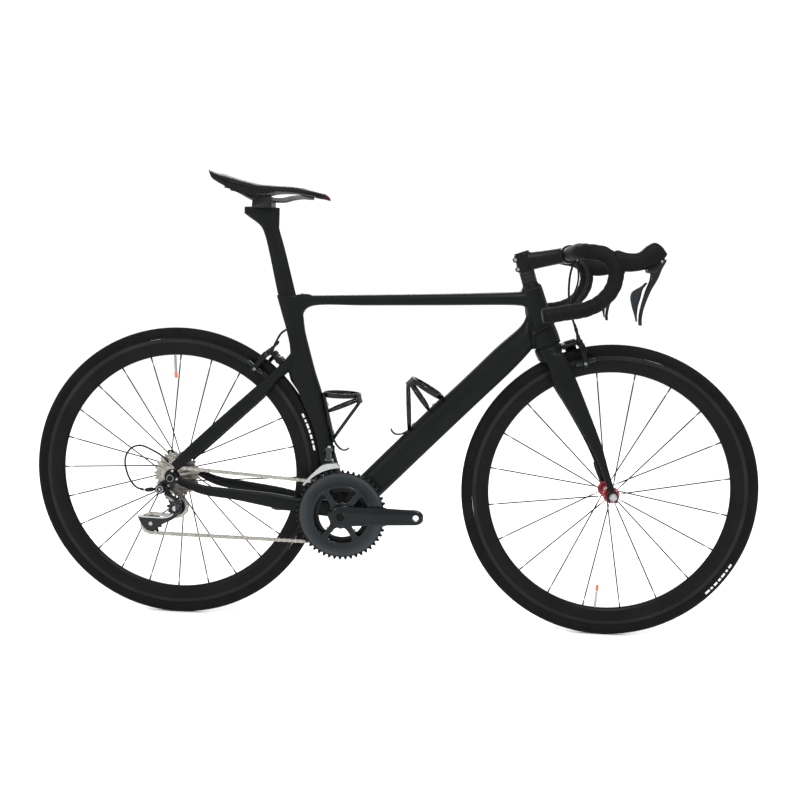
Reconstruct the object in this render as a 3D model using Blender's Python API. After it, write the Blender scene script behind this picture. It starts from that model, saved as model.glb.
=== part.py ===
"""Road bicycle: an assembly of separate named pieces.

Frame of the model: +X points the way the bicycle rides, +Y to the rider's left, +Z up. The origin is on
the ground, midway between the two axles. Lengths in this file are millimetres along the axes of an empty
that stands under the rear axle, and add_piece turns them into metres.
"""
import math

import bmesh
import bpy
from mathutils import Matrix, Vector

MM = 0.001
GAP = 0.35

# Driving dimensions
WHEELBASE = 992.0
TYRE_RADIUS = 336.0
TYRE_HALF_WIDTH = 12.5
RIM_RADIUS = 311.0
RIM_BED_RADIUS = 273.0
RIM_HALF_WIDTH = 10.0
WHEEL_STEPS = 36
FRONT_SPOKES = 20
REAR_SPOKES = 24
FRONT_SPACING = 50.2
REAR_SPACING = 65.2
DROPOUT_THICKNESS = 5.8
AXLE_RADIUS = 4.4
TYRE_CLEARANCE = 341.0

CRANK_CENTRE = Vector((386.0, 0.0, 263.0))
CRANK_LENGTH = 170.0
CRANK_ANGLE = 2.0
SPIDER_ANGLES = (CRANK_ANGLE + 50, CRANK_ANGLE - 58, CRANK_ANGLE + 123, CRANK_ANGLE - 128)
SPINDLE_RADIUS = 12.0
CHAIN_PITCH = 12.7
LARGE_RING_TEETH = 50
SMALL_RING_TEETH = 34
PULLEY_TEETH = 11
CASSETTE_TEETH = (11, 12, 13, 14, 15, 17, 19, 22, 25)
COG_SPACING = 4.35
SMALL_RING_Y = -39.4
LARGE_RING_Y = -47.8
SMALL_COG_Y = -60.0

STEERER_RADIUS = 14.3
HEAD_LOW = Vector((835.1, 0.0, 663.0))
HEAD_UP = Vector((-0.3173, 0.0, 0.9483)).normalized()
HEAD_FORWARD = Vector((0.9483, 0.0, 0.3173)).normalized()
HEAD_LENGTH = 134.0
STEM_HEIGHTS = (174.0, 215.0)
BAR_CENTRE = Vector((871.0, 0.0, 868.0))
BAR_RADIUS = 11.9
STEM_BAR_RADIUS = 15.9
TAPE_RADIUS = 15.8
TAPE_START = 60.0
LEVER_SIDE = 200.0

REAR_AXLE = Vector((0.0, 0.0, TYRE_RADIUS))
FRONT_AXLE = Vector((WHEELBASE, 0.0, TYRE_RADIUS))
X_AXIS = Vector((1.0, 0.0, 0.0))
Y_AXIS = Vector((0.0, 1.0, 0.0))
Z_AXIS = Vector((0.0, 0.0, 1.0))

# Finishes: colour, roughness, metallic
FRAME_BLACK = ((0.018, 0.02, 0.024), 0.3, 0.0)
GLOSS_BLACK = ((0.012, 0.012, 0.014), 0.18, 0.0)
SATIN_BLACK = ((0.03, 0.03, 0.032), 0.5, 0.0)
RUBBER = ((0.025, 0.025, 0.026), 0.8, 0.0)
SILVER = ((0.72, 0.73, 0.75), 0.3, 1.0)
GREY_METAL = ((0.22, 0.25, 0.29), 0.3, 0.9)
RED_ANODISED = ((0.42, 0.02, 0.03), 0.3, 0.9)


# ---------------------------------------------------------------- shapes: lists of points and of faces


def pitch_radius(teeth):
    return CHAIN_PITCH / (2 * math.sin(math.pi / teeth))


def tip_radius(teeth):
    return CHAIN_PITCH / 2 * (0.6 + 1 / math.tan(math.pi / teeth))


def on_circle(centre, radius, degrees):
    """A point in the bicycle's middle plane, at an angle measured from +X towards +Z."""
    angle = math.radians(degrees)
    return centre + Vector((radius * math.cos(angle), 0.0, radius * math.sin(angle)))


def rings_solid(rings, looped=False):
    """A skin over rings of points with equal counts, capped at both ends unless it is looped."""
    count = len(rings[0])
    points = [point for ring in rings for point in ring]
    faces = []
    for index in range(len(rings) if looped else len(rings) - 1):
        here = index * count
        there = (index + 1) % len(rings) * count
        for corner in range(count):
            after = (corner + 1) % count
            faces.append((here + corner, here + after, there + after, there + corner))
    if not looped:
        faces.append(tuple(range(count)))
        faces.append(tuple(range((len(rings) - 1) * count, len(rings) * count)))
    return points, faces


def oval(centre, side, front, half_side, half_front, count, power=2.0, phase=0.5):
    """A superellipse of points: power 2 is an ellipse, and a higher power is boxier."""
    ring = []
    for index in range(count):
        angle = 2 * math.pi * (index + phase) / count
        across = math.copysign(abs(math.cos(angle)) ** (2 / power), math.cos(angle))
        along = math.copysign(abs(math.sin(angle)) ** (2 / power), math.sin(angle))
        ring.append(centre + side * half_side * across + front * half_front * along)
    return ring


def edge_loft(stations, count=12, power=2.4):
    """A tube drawn by its two edges in side view: each station is (edge, other edge, y, half width)."""
    rings = []
    for (x_one, z_one), (x_two, z_two), y, half_width in stations:
        one = Vector((x_one, y, z_one))
        two = Vector((x_two, y, z_two))
        half = (two - one) / 2
        middle = (one + two) / 2
        rings.append(oval(middle, Y_AXIS, half.normalized(), half_width, half.length, count, power))
    return rings_solid(rings)


def frames_along(path, up):
    """For each point of a path: the point, and two directions square to the path there."""
    result = []
    for index, point in enumerate(path):
        before = path[max(index - 1, 0)]
        after = path[min(index + 1, len(path) - 1)]
        along = (after - before).normalized()
        side = (up - along * up.dot(along)).normalized()
        up = side
        result.append((point, side, along.cross(side)))
    return result


def tube(path, radii, count=8, up=Z_AXIS):
    rings = []
    for (point, side, front), radius in zip(frames_along(path, up), radii):
        rings.append(oval(point, side, front, radius, radius, count))
    return rings_solid(rings)


def rod(start, end, radius, end_radius=None, count=10):
    up = X_AXIS if abs((end - start).normalized().x) < 0.8 else Z_AXIS
    return tube([start, end], [radius, radius if end_radius is None else end_radius], count, up)


def turned(profile, centre, steps, axis=Y_AXIS, up=Z_AXIS):
    """A closed outline of (place along the axis, radius) turned round an axis: a ring with a hole."""
    right = up.cross(axis)
    rings = []
    for index in range(steps):
        angle = 2 * math.pi * index / steps
        out = right * math.sin(angle) - up * math.cos(angle)
        rings.append([centre + axis * along + out * radius for along, radius in profile])
    return rings_solid(rings, looped=True)


def stacked(profile, centre, steps, axis=Y_AXIS, up=Z_AXIS):
    """A solid turned shape: rings of (place along the axis, radius), capped at its two ends."""
    side = up.cross(axis)
    rings = [oval(centre + axis * along, side, up, radius, radius, steps) for along, radius in profile]
    return rings_solid(rings)


def plate(outline, y_low, y_high):
    """A flat plate: an outline of (x, z) points, extruded along Y."""
    rings = [[Vector((x, y, z)) for x, z in outline] for y in (y_low, y_high)]
    return rings_solid(rings)


def hull(points):
    """The convex solid round a set of points."""
    shell = bmesh.new()
    for point in points:
        shell.verts.new(point)
    result = bmesh.ops.convex_hull(shell, input=shell.verts)
    unused = [item for item in result["geom_interior"] if isinstance(item, bmesh.types.BMVert)]
    bmesh.ops.delete(shell, geom=unused, context="VERTS")
    bmesh.ops.dissolve_limit(shell, angle_limit=0.001, verts=shell.verts, edges=shell.edges)
    shell.verts.ensure_lookup_table()
    shape = ([vert.co.copy() for vert in shell.verts],
             [tuple(vert.index for vert in face.verts) for face in shell.faces])
    shell.free()
    return shape


def box(low, high):
    return hull([Vector((x, y, z)) for x in (low[0], high[0]) for y in (low[1], high[1])
                 for z in (low[2], high[2])])


def mirrored(shape):
    points, faces = shape
    return [Vector((point.x, -point.y, point.z)) for point in points], faces


def placed(shape, matrix):
    points, faces = shape
    return [matrix @ point for point in points], faces


# ---------------------------------------------------------------- meshes and objects


def to_mesh(shape):
    points, faces = shape
    mesh = bpy.data.meshes.new("shape")
    mesh.from_pydata(points, [], faces)
    work = bmesh.new()
    work.from_mesh(mesh)
    bmesh.ops.recalc_face_normals(work, faces=work.faces)
    work.to_mesh(mesh)
    work.free()
    return mesh


def boolean(shape, others, operation):
    """Joins the other shapes to a shape, or cuts them out of it."""
    if not others:
        return shape
    made = [bpy.data.objects.new("part", to_mesh(item)) for item in (shape, *others)]
    for item in made:
        bpy.context.scene.collection.objects.link(item)
    for other in made[1:]:
        modifier = made[0].modifiers.new("join", "BOOLEAN")
        modifier.operation = operation
        modifier.object = other
    bpy.context.view_layer.update()
    graph = bpy.context.evaluated_depsgraph_get()
    mesh = bpy.data.meshes.new_from_object(made[0].evaluated_get(graph))
    points = [vert.co.copy() for vert in mesh.vertices]
    faces = [tuple(face.vertices) for face in mesh.polygons]
    for item in made:
        bpy.data.objects.remove(item)
    return points, faces


def joined(*shapes):
    return boolean(shapes[0], shapes[1:], "UNION")


def cut(shape, *cutters):
    return boolean(shape, cutters, "DIFFERENCE")


def finish(name, look):
    colour, roughness, metallic = look
    material = bpy.data.materials.new(name)
    material.use_nodes = True
    shader = material.node_tree.nodes["Principled BSDF"]
    shader.inputs["Base Color"].default_value = (*colour, 1.0)
    shader.inputs["Roughness"].default_value = roughness
    shader.inputs["Metallic"].default_value = metallic
    return material


def add_piece(name, shape, look, origin=(0.0, 0.0, 0.0), smooth=35.0):
    """Puts a shape in the scene as a piece. A moving piece has its origin on its joint's axis."""
    origin = Vector(origin)
    points, faces = shape
    mesh = to_mesh(([(point - origin) * MM for point in points], faces))
    mesh.name = name
    mesh.shade_smooth()
    mesh.set_sharp_from_angle(angle=math.radians(smooth))
    mesh.materials.append(finish(name, look))
    piece = bpy.data.objects.new(name, mesh)
    piece.location = origin * MM
    piece.parent = UNDER_REAR_AXLE
    bpy.context.scene.collection.objects.link(piece)
    return piece


def smooth_path(points, spacing):
    """Points a spacing apart on a smooth curve through the given points."""
    ends = [points[0] * 2 - points[1], *points, points[-1] * 2 - points[-2]]
    dense = []
    for index in range(1, len(ends) - 2):
        before, here, there, after = ends[index - 1:index + 3]
        for step in range(16):
            part = step / 16
            dense.append(0.5 * (2 * here + (there - before) * part
                                + (2 * before - 5 * here + 4 * there - after) * part ** 2
                                + (3 * here - before - 3 * there + after) * part ** 3))
    dense.append(points[-1])
    total = sum((dense[index + 1] - dense[index]).length for index in range(len(dense) - 1))
    count = max(2, round(total / spacing))
    result = [dense[0]]
    travelled = 0.0
    for index in range(len(dense) - 1):
        length = (dense[index + 1] - dense[index]).length
        while len(result) < count and travelled + length >= len(result) * total / count - 1e-6:
            part = (len(result) * total / count - travelled) / length
            result.append(dense[index].lerp(dense[index + 1], part))
        travelled += length
    return result + [dense[-1]]


def add_cable(name, points, radius, look):
    """A cable housing: a round curve along a smooth route."""
    path = smooth_path([Vector(point) for point in points], 6 * radius)
    curve = bpy.data.curves.new(name, "CURVE")
    curve.dimensions = "3D"
    curve.bevel_depth = radius * MM
    curve.bevel_resolution = 2
    curve.use_fill_caps = True
    spline = curve.splines.new("POLY")
    spline.points.add(len(path) - 1)
    for item, point in zip(spline.points, path):
        item.co = (*(point * MM), 1.0)
    curve.materials.append(finish(name, look))
    piece = bpy.data.objects.new(name, curve)
    piece.parent = UNDER_REAR_AXLE
    bpy.context.scene.collection.objects.link(piece)
    return piece


# ---------------------------------------------------------------- wheels


def make_tyre(name, axle):
    outer = [(-12.5, 322.0), (-8.8, 332.2), (0.0, TYRE_RADIUS), (8.8, 332.2), (12.5, 322.0)]
    inner = [(10.0, 322.0), (0.0, 333.0), (-10.0, 322.0)]
    bead = RIM_RADIUS + GAP
    profile = [(-9.6, bead), *outer, (9.6, bead), (7.2, bead), *inner, (-7.2, bead)]
    add_piece(name, turned(profile, axle, WHEEL_STEPS), RUBBER, axle, 50)


def make_inner_tube(name, axle, valve_angle):
    """The air tube inside the tyre, with the valve stem that comes out through the rim."""
    profile = [(7.4, 321.6), (0.0, 329.0), (-7.4, 321.6), (0.0, 314.2)]
    ring = turned(profile, axle, WHEEL_STEPS)
    stem = rod(on_circle(axle, 319.0, valve_angle), on_circle(axle, 222.0, valve_angle), 3.1, count=8)
    add_piece(name, joined(ring, stem), RUBBER, axle, 50)


def make_rim(name, axle, valve_angle):
    half = RIM_HALF_WIDTH
    side = [(half, RIM_RADIUS), (half + 0.4, 296.0), (6.2, 277.0)]
    profile = side + [(0.0, RIM_BED_RADIUS)] + [(-y, radius) for y, radius in reversed(side)]
    ring = turned(profile, axle, WHEEL_STEPS)
    hole = rod(on_circle(axle, 330.0, valve_angle), on_circle(axle, 250.0, valve_angle), 3.7, count=8)
    add_piece(name, cut(ring, hole), GLOSS_BLACK, axle, 30)


def spoke(axle, rim_angle, hub_angle, hub_radius, hub_y, rim_y):
    """A bladed spoke from a hub flange to the rim."""
    foot = on_circle(axle, hub_radius, hub_angle) + Y_AXIS * hub_y
    head = on_circle(axle, RIM_BED_RADIUS - 1.6, rim_angle) + Y_AXIS * rim_y
    along = (head - foot).normalized()
    thin = (Y_AXIS - along * along.y).normalized()
    wide = along.cross(thin)
    corners = [thin * flat + wide * broad
               for flat, broad in ((0.7, 1.2), (-0.7, 1.2), (-0.7, -1.2), (0.7, -1.2))]
    return rings_solid([[foot + corner for corner in corners], [head + corner for corner in corners]])


def make_front_hub(axle):
    """The hub shell with its laced spokes: ten radial spokes on each flange."""
    bore = AXLE_RADIUS + 0.9
    profile = [(-44, bore), (-44, 9), (-38, 10), (-37.5, 17), (-34.5, 17), (-30, 11),
               (30, 11), (34.5, 17), (37.5, 17), (38, 10), (44, 9), (44, bore)]
    shell = turned(profile, axle, 20)
    spokes = []
    for index in range(FRONT_SPOKES):
        side = 1 if index % 2 else -1
        angle = 360 * (index + 0.5) / FRONT_SPOKES
        spokes.append(spoke(axle, angle, angle, 15.0, side * 36.0, side * 1.2))
    add_piece("front_hub_with_spokes", joined(shell, *spokes), RED_ANODISED, axle)


def make_rear_hub(axle):
    """The hub shell with its laced spokes: crossed on the chain side and radial on the other."""
    bore = AXLE_RADIUS + 0.9
    profile = [(-21.5, bore), (-21.5, 14), (-20.5, 22), (-17.5, 22), (-12, 12), (28, 12),
               (33, 19), (36, 19), (38, 11), (44, 10), (44, bore)]
    shell = turned(profile, axle, 20)
    spokes = []
    for index in range(REAR_SPOKES):
        angle = 360 * index / REAR_SPOKES
        if index % 2:
            spokes.append(spoke(axle, angle, angle, 17.0, 34.5, 1.2))
        else:
            lean = 62 if index % 4 else -62
            hub_y = -18.0 if index % 4 else -20.0
            spokes.append(spoke(axle, angle, angle + lean, 20.0, hub_y, -1.2))
    add_piece("rear_hub_with_spokes", joined(shell, *spokes), SATIN_BLACK, axle)


def make_axle(name, axle, spacing, bearing_y, look):
    """The fixed axle: cones inside, lock nuts against the dropouts and the skewer's end nut outside."""
    outside = spacing + DROPOUT_THICKNESS + GAP
    low, high = bearing_y
    profile = [(-outside - 10, 5.0), (-outside - 9, 8.0), (-outside, 8.0), (-outside, AXLE_RADIUS),
               (-spacing + GAP, AXLE_RADIUS), (-spacing + GAP, 8.0),
               (low - GAP, 8.0), (low - GAP, AXLE_RADIUS),
               (high + GAP, AXLE_RADIUS), (high + GAP, 8.0),
               (spacing - GAP, 8.0), (spacing - GAP, AXLE_RADIUS),
               (outside, AXLE_RADIUS), (outside, 8.0), (outside + 6, 8.0), (outside + 7, 5.0)]
    add_piece(name, stacked(profile, axle, 10), look)


def make_skewer_lever(name, axle, spacing, degrees):
    """The quick release lever: its cam lies against the skewer's head and the blade curves away from it."""
    start_y = spacing + DROPOUT_THICKNESS + 7 + 2 * GAP
    turn = Matrix.Rotation(math.radians(degrees), 4, "Y")
    centre = axle + Y_AXIS * (start_y + 5.5)
    local = [(0, 0.0, 0, 5.0, 6.0), (10, 1.0, 0, 4.0, 6.0), (30, 4.0, 0, 2.5, 7.0),
             (50, 3.0, 0, 2.0, 8.0), (62, 0.0, 0, 1.6, 6.0)]
    rings = [oval(Vector((x, y, z)), Y_AXIS, Z_AXIS, thick, wide, 8) for x, y, z, thick, wide in local]
    blade = placed(rings_solid(rings), Matrix.Translation(centre) @ turn)
    add_piece(name, blade, SATIN_BLACK, centre)


# ---------------------------------------------------------------- frame, fork and their cuts


def head_point(height):
    return HEAD_LOW + HEAD_UP * height


def wheel_groove(axle, half_width):
    """The space that a wheel needs: a disc a little larger than the tyre."""
    side = half_width
    return stacked([(-side, TYRE_CLEARANCE), (side, TYRE_CLEARANCE)], axle, 72)


def dropout(axle, y_inner, y_outer, drop):
    """A dropout plate round the axle, with its slot cut open downwards."""
    outline = [(axle.x + 13 * math.cos(math.radians(a)), axle.z + 13 * math.sin(math.radians(a)))
               for a in range(-20, 201, 20)]
    outline += [(axle.x - 11, axle.z - drop), (axle.x + 11, axle.z - drop)]
    blank = plate(outline, y_inner, y_outer)
    half = AXLE_RADIUS + 0.5
    slot = box((axle.x - half, y_inner - 1, axle.z - drop - 5), (axle.x + half, y_outer + 1, axle.z))
    eye = rod(axle + Y_AXIS * (y_inner - 1), axle + Y_AXIS * (y_outer + 1), half, count=12)
    return cut(blank, slot, eye)


def seatpost_section(grow, stations):
    rings = []
    for (x_rear, z_rear), (x_front, z_front), half_width in stations:
        rear = Vector((x_rear, 0, z_rear))
        front = Vector((x_front, 0, z_front))
        half = (front - rear) / 2
        rings.append(oval((rear + front) / 2, Y_AXIS, half.normalized(),
                          half_width + grow, half.length + grow, 12, 2.2))
    return rings


POST_IN_FRAME = [((240, 690), (278, 700), 9.5), ((222, 752), (261, 762), 9.8)]
POST_ABOVE = [
    ((200, 846), (235.5, 856), 10.5), ((188.5, 888), (222, 900), 11.8), ((177, 909), (221, 914), 13.5),
    ((150, 928), (221, 929), 16.0), ((141, 935), (221, 936), 17.0), ((141, 949), (221, 949), 17.0)]
SEATPOST_OVAL = POST_IN_FRAME + POST_ABOVE


def make_frame():
    seat_tube = edge_loft([
        ((218, 754), (268, 757), 0, 13.5), ((231, 712), (280, 714), 0, 14), ((243, 673), (286, 675), 0, 15),
        ((252, 631), (298, 631), 0, 17), ((250, 580), (313, 580), 0, 18.5), ((268, 530), (330, 530), 0, 19.5),
        ((298, 472), (343, 470), 0, 20), ((313, 430), (354, 430), 0, 20), ((324, 380), (368, 380), 0, 21),
        ((345, 310), (392, 310), 0, 24), ((366, 262), (406, 262), 0, 26)], 12, 2.6)
    top_tube = edge_loft([
        ((262, 756), (277, 705), 0, 13), ((296, 757), (303, 733), 0, 14.5), ((420, 763), (424, 738), 0, 17),
        ((600, 772), (603, 745), 0, 19), ((752, 781), (756, 751), 0, 21),
        ((792, 785), (792, 745), 0, 19)], 12, 2.6)
    down_tube = edge_loft([
        ((378, 300), (410, 246), 0, 30), ((424, 342), (466, 299), 0, 28), ((520, 443), (560, 416), 0, 26),
        ((640, 567), (680, 531), 0, 25), ((720, 653), (757, 607), 0, 24.5), ((772, 703), (800, 655), 0, 23),
        ((790, 735), (812, 668), 0, 22)], 12, 2.6)
    head_stations = [(0.5, 32, 27), (22, 31, 27), (60, 27, 24), (HEAD_LENGTH, 24, 22.5)]
    head_tube = rings_solid([oval(head_point(height), Y_AXIS, HEAD_FORWARD, wide, deep, 16)
                             for height, deep, wide in head_stations])
    shell = rod(CRANK_CENTRE - Y_AXIS * 34, CRANK_CENTRE + Y_AXIS * 34, 26, count=20)
    chain_stay = edge_loft([
        ((372, 292), (372, 250), 22, 11), ((300, 293), (296, 258), 27.5, 8.8),
        ((225, 304), (222, 270), 37, 8.5), ((142, 312), (140, 286), 47, 8),
        ((70, 320), (68, 297), 57, 6.5), ((12, 341), (9, 322), 68.2, 3.2)], 10)
    seat_stay = edge_loft([
        ((262, 634), (255, 585), 10, 9), ((238, 603), (225, 556), 19.5, 8),
        ((196, 562), (201, 525), 24.5, 6.5), ((96, 468), (112, 440), 43, 6),
        ((26, 399), (42, 375), 62.5, 5), ((-2, 368), (12, 350), 68.5, 3.0)], 10)
    bridge = tube([Vector((229, -19, 607)), Vector((229, 19, 607))], [8.5, 8.5], 10, Z_AXIS)
    rear_end = dropout(REAR_AXLE, REAR_SPACING, REAR_SPACING + DROPOUT_THICKNESS, 15)
    hanger = plate([(-12, 330), (2, 325), (-13, 302), (-29, 303), (-31, 318)],
                   -REAR_SPACING - DROPOUT_THICKNESS,
                   -REAR_SPACING)
    shape = joined(seat_tube, top_tube, down_tube, head_tube, shell, bridge,
                   chain_stay, mirrored(chain_stay), seat_stay, mirrored(seat_stay),
                   rear_end, mirrored(rear_end), hanger)
    steerer_bore = rod(head_point(-5), head_point(HEAD_LENGTH + 10), STEERER_RADIUS + 0.4, count=16)
    bearing_seat = rod(head_point(-2), head_point(9), 21, count=16)
    crank_bore = rod(CRANK_CENTRE - Y_AXIS * 40, CRANK_CENTRE + Y_AXIS * 40, 17.5, count=20)
    socket_stations = [POST_IN_FRAME[0], POST_IN_FRAME[1], ((211, 797), (249, 807), 10.1)]
    socket = rings_solid(seatpost_section(GAP, socket_stations))
    below = rings_solid(seatpost_section(GAP, [((243.5, 680), (281, 690), 9.4), POST_IN_FRAME[0]]))
    bolt_hole = rod(brake_point(REAR_BRAKE, 0, 0, -30), brake_point(REAR_BRAKE, 0, 0, 30), 3.4, count=8)
    shape = cut(shape, steerer_bore, bearing_seat, crank_bore, socket, below,
                wheel_groove(REAR_AXLE, 15.8), bolt_hole)
    add_piece("frame", shape, FRAME_BLACK, smooth=40)


def make_fork():
    """Steerer, crown and two blades in one piece, which turns about the head tube's axis."""
    steerer = rod(head_point(-20), head_point(STEM_HEIGHTS[1] - 2), STEERER_RADIUS, count=16)
    crown_stations = [(-0.5, 31, 26, 0), (-14, 30, 30, 0), (-34, 27, 34, 0)]
    crown = rings_solid([oval(head_point(height), Y_AXIS, HEAD_FORWARD, wide, deep, 16, 2.2)
                         for height, deep, wide, _ in crown_stations])
    blade = edge_loft([
        ((870, 652), (829, 640), 23, 9), ((885, 625), (838, 611), 27, 9.5), ((902, 590), (850, 578), 30, 8.5),
        ((932, 523), (893, 515), 36, 7), ((962, 453), (935, 448), 43, 6), ((981, 395), (965, 391), 49, 5.2),
        ((996, 352), (981, 347), 53, 3.2), ((1000, 344), (985, 342.5), 53.1, 2.8)], 10)
    end = dropout(FRONT_AXLE, FRONT_SPACING, FRONT_SPACING + DROPOUT_THICKNESS, 14)
    shape = joined(steerer, crown, blade, mirrored(blade), end, mirrored(end))
    bolt_hole = rod(brake_point(FRONT_BRAKE, 0, 0, -100), brake_point(FRONT_BRAKE, 0, 0, 30), 3.4, count=8)
    shape = cut(shape, wheel_groove(FRONT_AXLE, 16.5), bolt_hole)
    add_piece("fork", shape, FRAME_BLACK, HEAD_LOW, 40)


def make_headset():
    seat = STEERER_RADIUS + GAP
    bearing = [(0.9, seat + 0.1), (0.9, 20.6), (8.6, 20.6), (8.6, seat + 0.1)]
    add_piece("headset_lower_bearing", turned(bearing, HEAD_LOW, 16, HEAD_UP, HEAD_FORWARD), SILVER)
    low = HEAD_LENGTH + GAP
    high = STEM_HEIGHTS[0] - GAP
    spacers = [(low, seat), (low, 23), (low + 3, 22), (low + 9, 17), (high, 17), (high, seat)]
    add_piece("headset_spacers", turned(spacers, HEAD_LOW, 16, HEAD_UP, HEAD_FORWARD), SATIN_BLACK, HEAD_LOW)


def make_stem():
    low, high = STEM_HEIGHTS
    collar = rod(head_point(low), head_point(high), 18.0, count=16)
    centre = head_point((low + high) / 2)
    reach = (BAR_CENTRE - centre).normalized()
    rise = Y_AXIS.cross(reach) * -1
    neck = rings_solid([oval(centre + reach * place, Y_AXIS, rise, wide, tall, 12, 2.4)
                        for place, wide, tall in ((-6, 15, 18), (30, 15, 16), (70, 18, 15.5),
                                                  ((BAR_CENTRE - centre).length, 21, 15.5))])
    clamp = rod(BAR_CENTRE - Y_AXIS * 21, BAR_CENTRE + Y_AXIS * 21, 20.5, count=16)
    shape = joined(collar, neck, clamp)
    steerer_bore = rod(head_point(low - 5), head_point(high + 5), STEERER_RADIUS + GAP, count=16)
    bar_bore = rod(BAR_CENTRE - Y_AXIS * 30, BAR_CENTRE + Y_AXIS * 30, 16.3, count=16)
    add_piece("stem", cut(shape, steerer_bore, bar_bore), SATIN_BLACK, HEAD_LOW)


# ---------------------------------------------------------------- handlebar and controls

BAR_ROUTE = [(871, 0, 868), (871, 40, 868), (871, 120, 868),
             (873, 163, 868), (890, 188, 866), (918, 197, 861),
             (938, 200, 843), (943, 200, 815), (934, 201, 787), (912, 202, 763), (884, 203, 749),
             (850, 204, 742), (803, 205, 733)]


def bar_frames():
    return frames_along(smooth_path([Vector(point) for point in BAR_ROUTE], 25.0), Z_AXIS)


def make_handlebar():
    """The bar, thick where the stem holds it, and a hollow sleeve of tape on each half."""
    frames = bar_frames()
    rings = []
    for point, side, front in frames:
        taper = min(max((point.y - 28) / 16, 0), 1)
        radius = STEM_BAR_RADIUS + (BAR_RADIUS - STEM_BAR_RADIUS) * taper
        rings.append(oval(point, side, front, radius, radius, 8))
    other_half = [[Vector((point.x, -point.y, point.z)) for point in ring] for ring in rings[:0:-1]]
    add_piece("handlebar", rings_solid(other_half + rings), SATIN_BLACK, HEAD_LOW)
    taped = [frame for frame in frames if frame[0].y > TAPE_START]
    wall = [oval(point, side, front, TAPE_RADIUS, TAPE_RADIUS, 8) for point, side, front in taped]
    for point, side, front in reversed(taped):
        wall.append(oval(point, side, front, BAR_RADIUS + GAP, BAR_RADIUS + GAP, 8))
    tape = rings_solid(wall, looped=True)
    add_piece("bar_tape_left", tape, RUBBER, HEAD_LOW, 60)
    add_piece("bar_tape_right", mirrored(tape), RUBBER, HEAD_LOW, 60)


LEVER_PIVOT = Vector((1030.0, 0.0, 850.0))
PADDLE_PIVOT = Vector((1012.0, 0.0, 812.0))


def make_controls(side_name, side):
    """A hood with its brake lever, and the shift paddle that hangs behind the lever."""
    y = side * LEVER_SIDE
    hood = edge_loft([
        ((938, 871), (941, 832), LEVER_SIDE, 15), ((962, 866), (965, 828), LEVER_SIDE, 14),
        ((984, 867), (985, 830), LEVER_SIDE, 15), ((1001, 881), (1002, 834), LEVER_SIDE, 15),
        ((1016, 888), (1014, 838), LEVER_SIDE, 14), ((1030, 881), (1024, 845), LEVER_SIDE, 12.5),
        ((1041, 868), (1034, 853), LEVER_SIDE, 9)], 10)
    around_tape = [oval(point, across, front, TAPE_RADIUS + GAP, TAPE_RADIUS + GAP, 8)
                   for point, across, front in bar_frames()]
    behind = box((900, 150, 800), (941, 250, 900))
    hood = cut(hood, rings_solid(around_tape), behind)
    if side < 0:
        hood = mirrored(hood)
    lever = edge_loft([
        ((1039, 852), (1033, 848), y, 6), ((1037, 838), (1024, 836), y, 6.5),
        ((1025, 815), (1014, 815), y, 6.5), ((1011, 785), (1003, 785), y, 7),
        ((1001, 755), (993, 756), y, 7), ((1001, 725), (993, 724), y, 5.5)], 8)
    paddle_y = side * (LEVER_SIDE - 5)
    paddle = edge_loft([
        ((1010, 812), (1002, 812), paddle_y, 3), ((999, 795), (984, 795), paddle_y, 3.5),
        ((996, 775), (978, 776), paddle_y, 3.5), ((990, 748), (983, 749), paddle_y, 3.2),
        ((990, 730), (986, 729), paddle_y, 2.4)], 8)
    add_piece("hood_" + side_name, hood, RUBBER, HEAD_LOW, 50)
    add_piece("brake_lever_" + side_name, lever, GLOSS_BLACK, LEVER_PIVOT + Y_AXIS * y)
    add_piece("shift_paddle_" + side_name, paddle, GREY_METAL, PADDLE_PIVOT + Y_AXIS * paddle_y)


# ---------------------------------------------------------------- rim brakes

# A brake's own directions: side (+Y), out (away from the axle) and along its bolt, away from the frame.
REAR_BRAKE = (on_circle(REAR_AXLE, 352.0, 50.5), 50.5, 1.0)
FRONT_BRAKE = (head_point(-13) + HEAD_FORWARD * 45.0, None, 1.0)


def brake_axes(brake):
    if brake is FRONT_BRAKE:
        return HEAD_UP, HEAD_FORWARD
    angle = math.radians(brake[1])
    return Vector((math.cos(angle), 0, math.sin(angle))), Vector((-math.sin(angle), 0, math.cos(angle)))


def brake_point(brake, side, out, along):
    outward, forward = brake_axes(brake)
    return brake[0] + Y_AXIS * side + outward * out + forward * along


def brake_plate(brake, outline, low, high):
    """A flat piece of a brake: an outline of (side, out) points, between two places along the bolt."""
    rings = [[brake_point(brake, side, out, along) for side, out in outline] for along in (low, high)]
    return rings_solid(rings)


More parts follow.
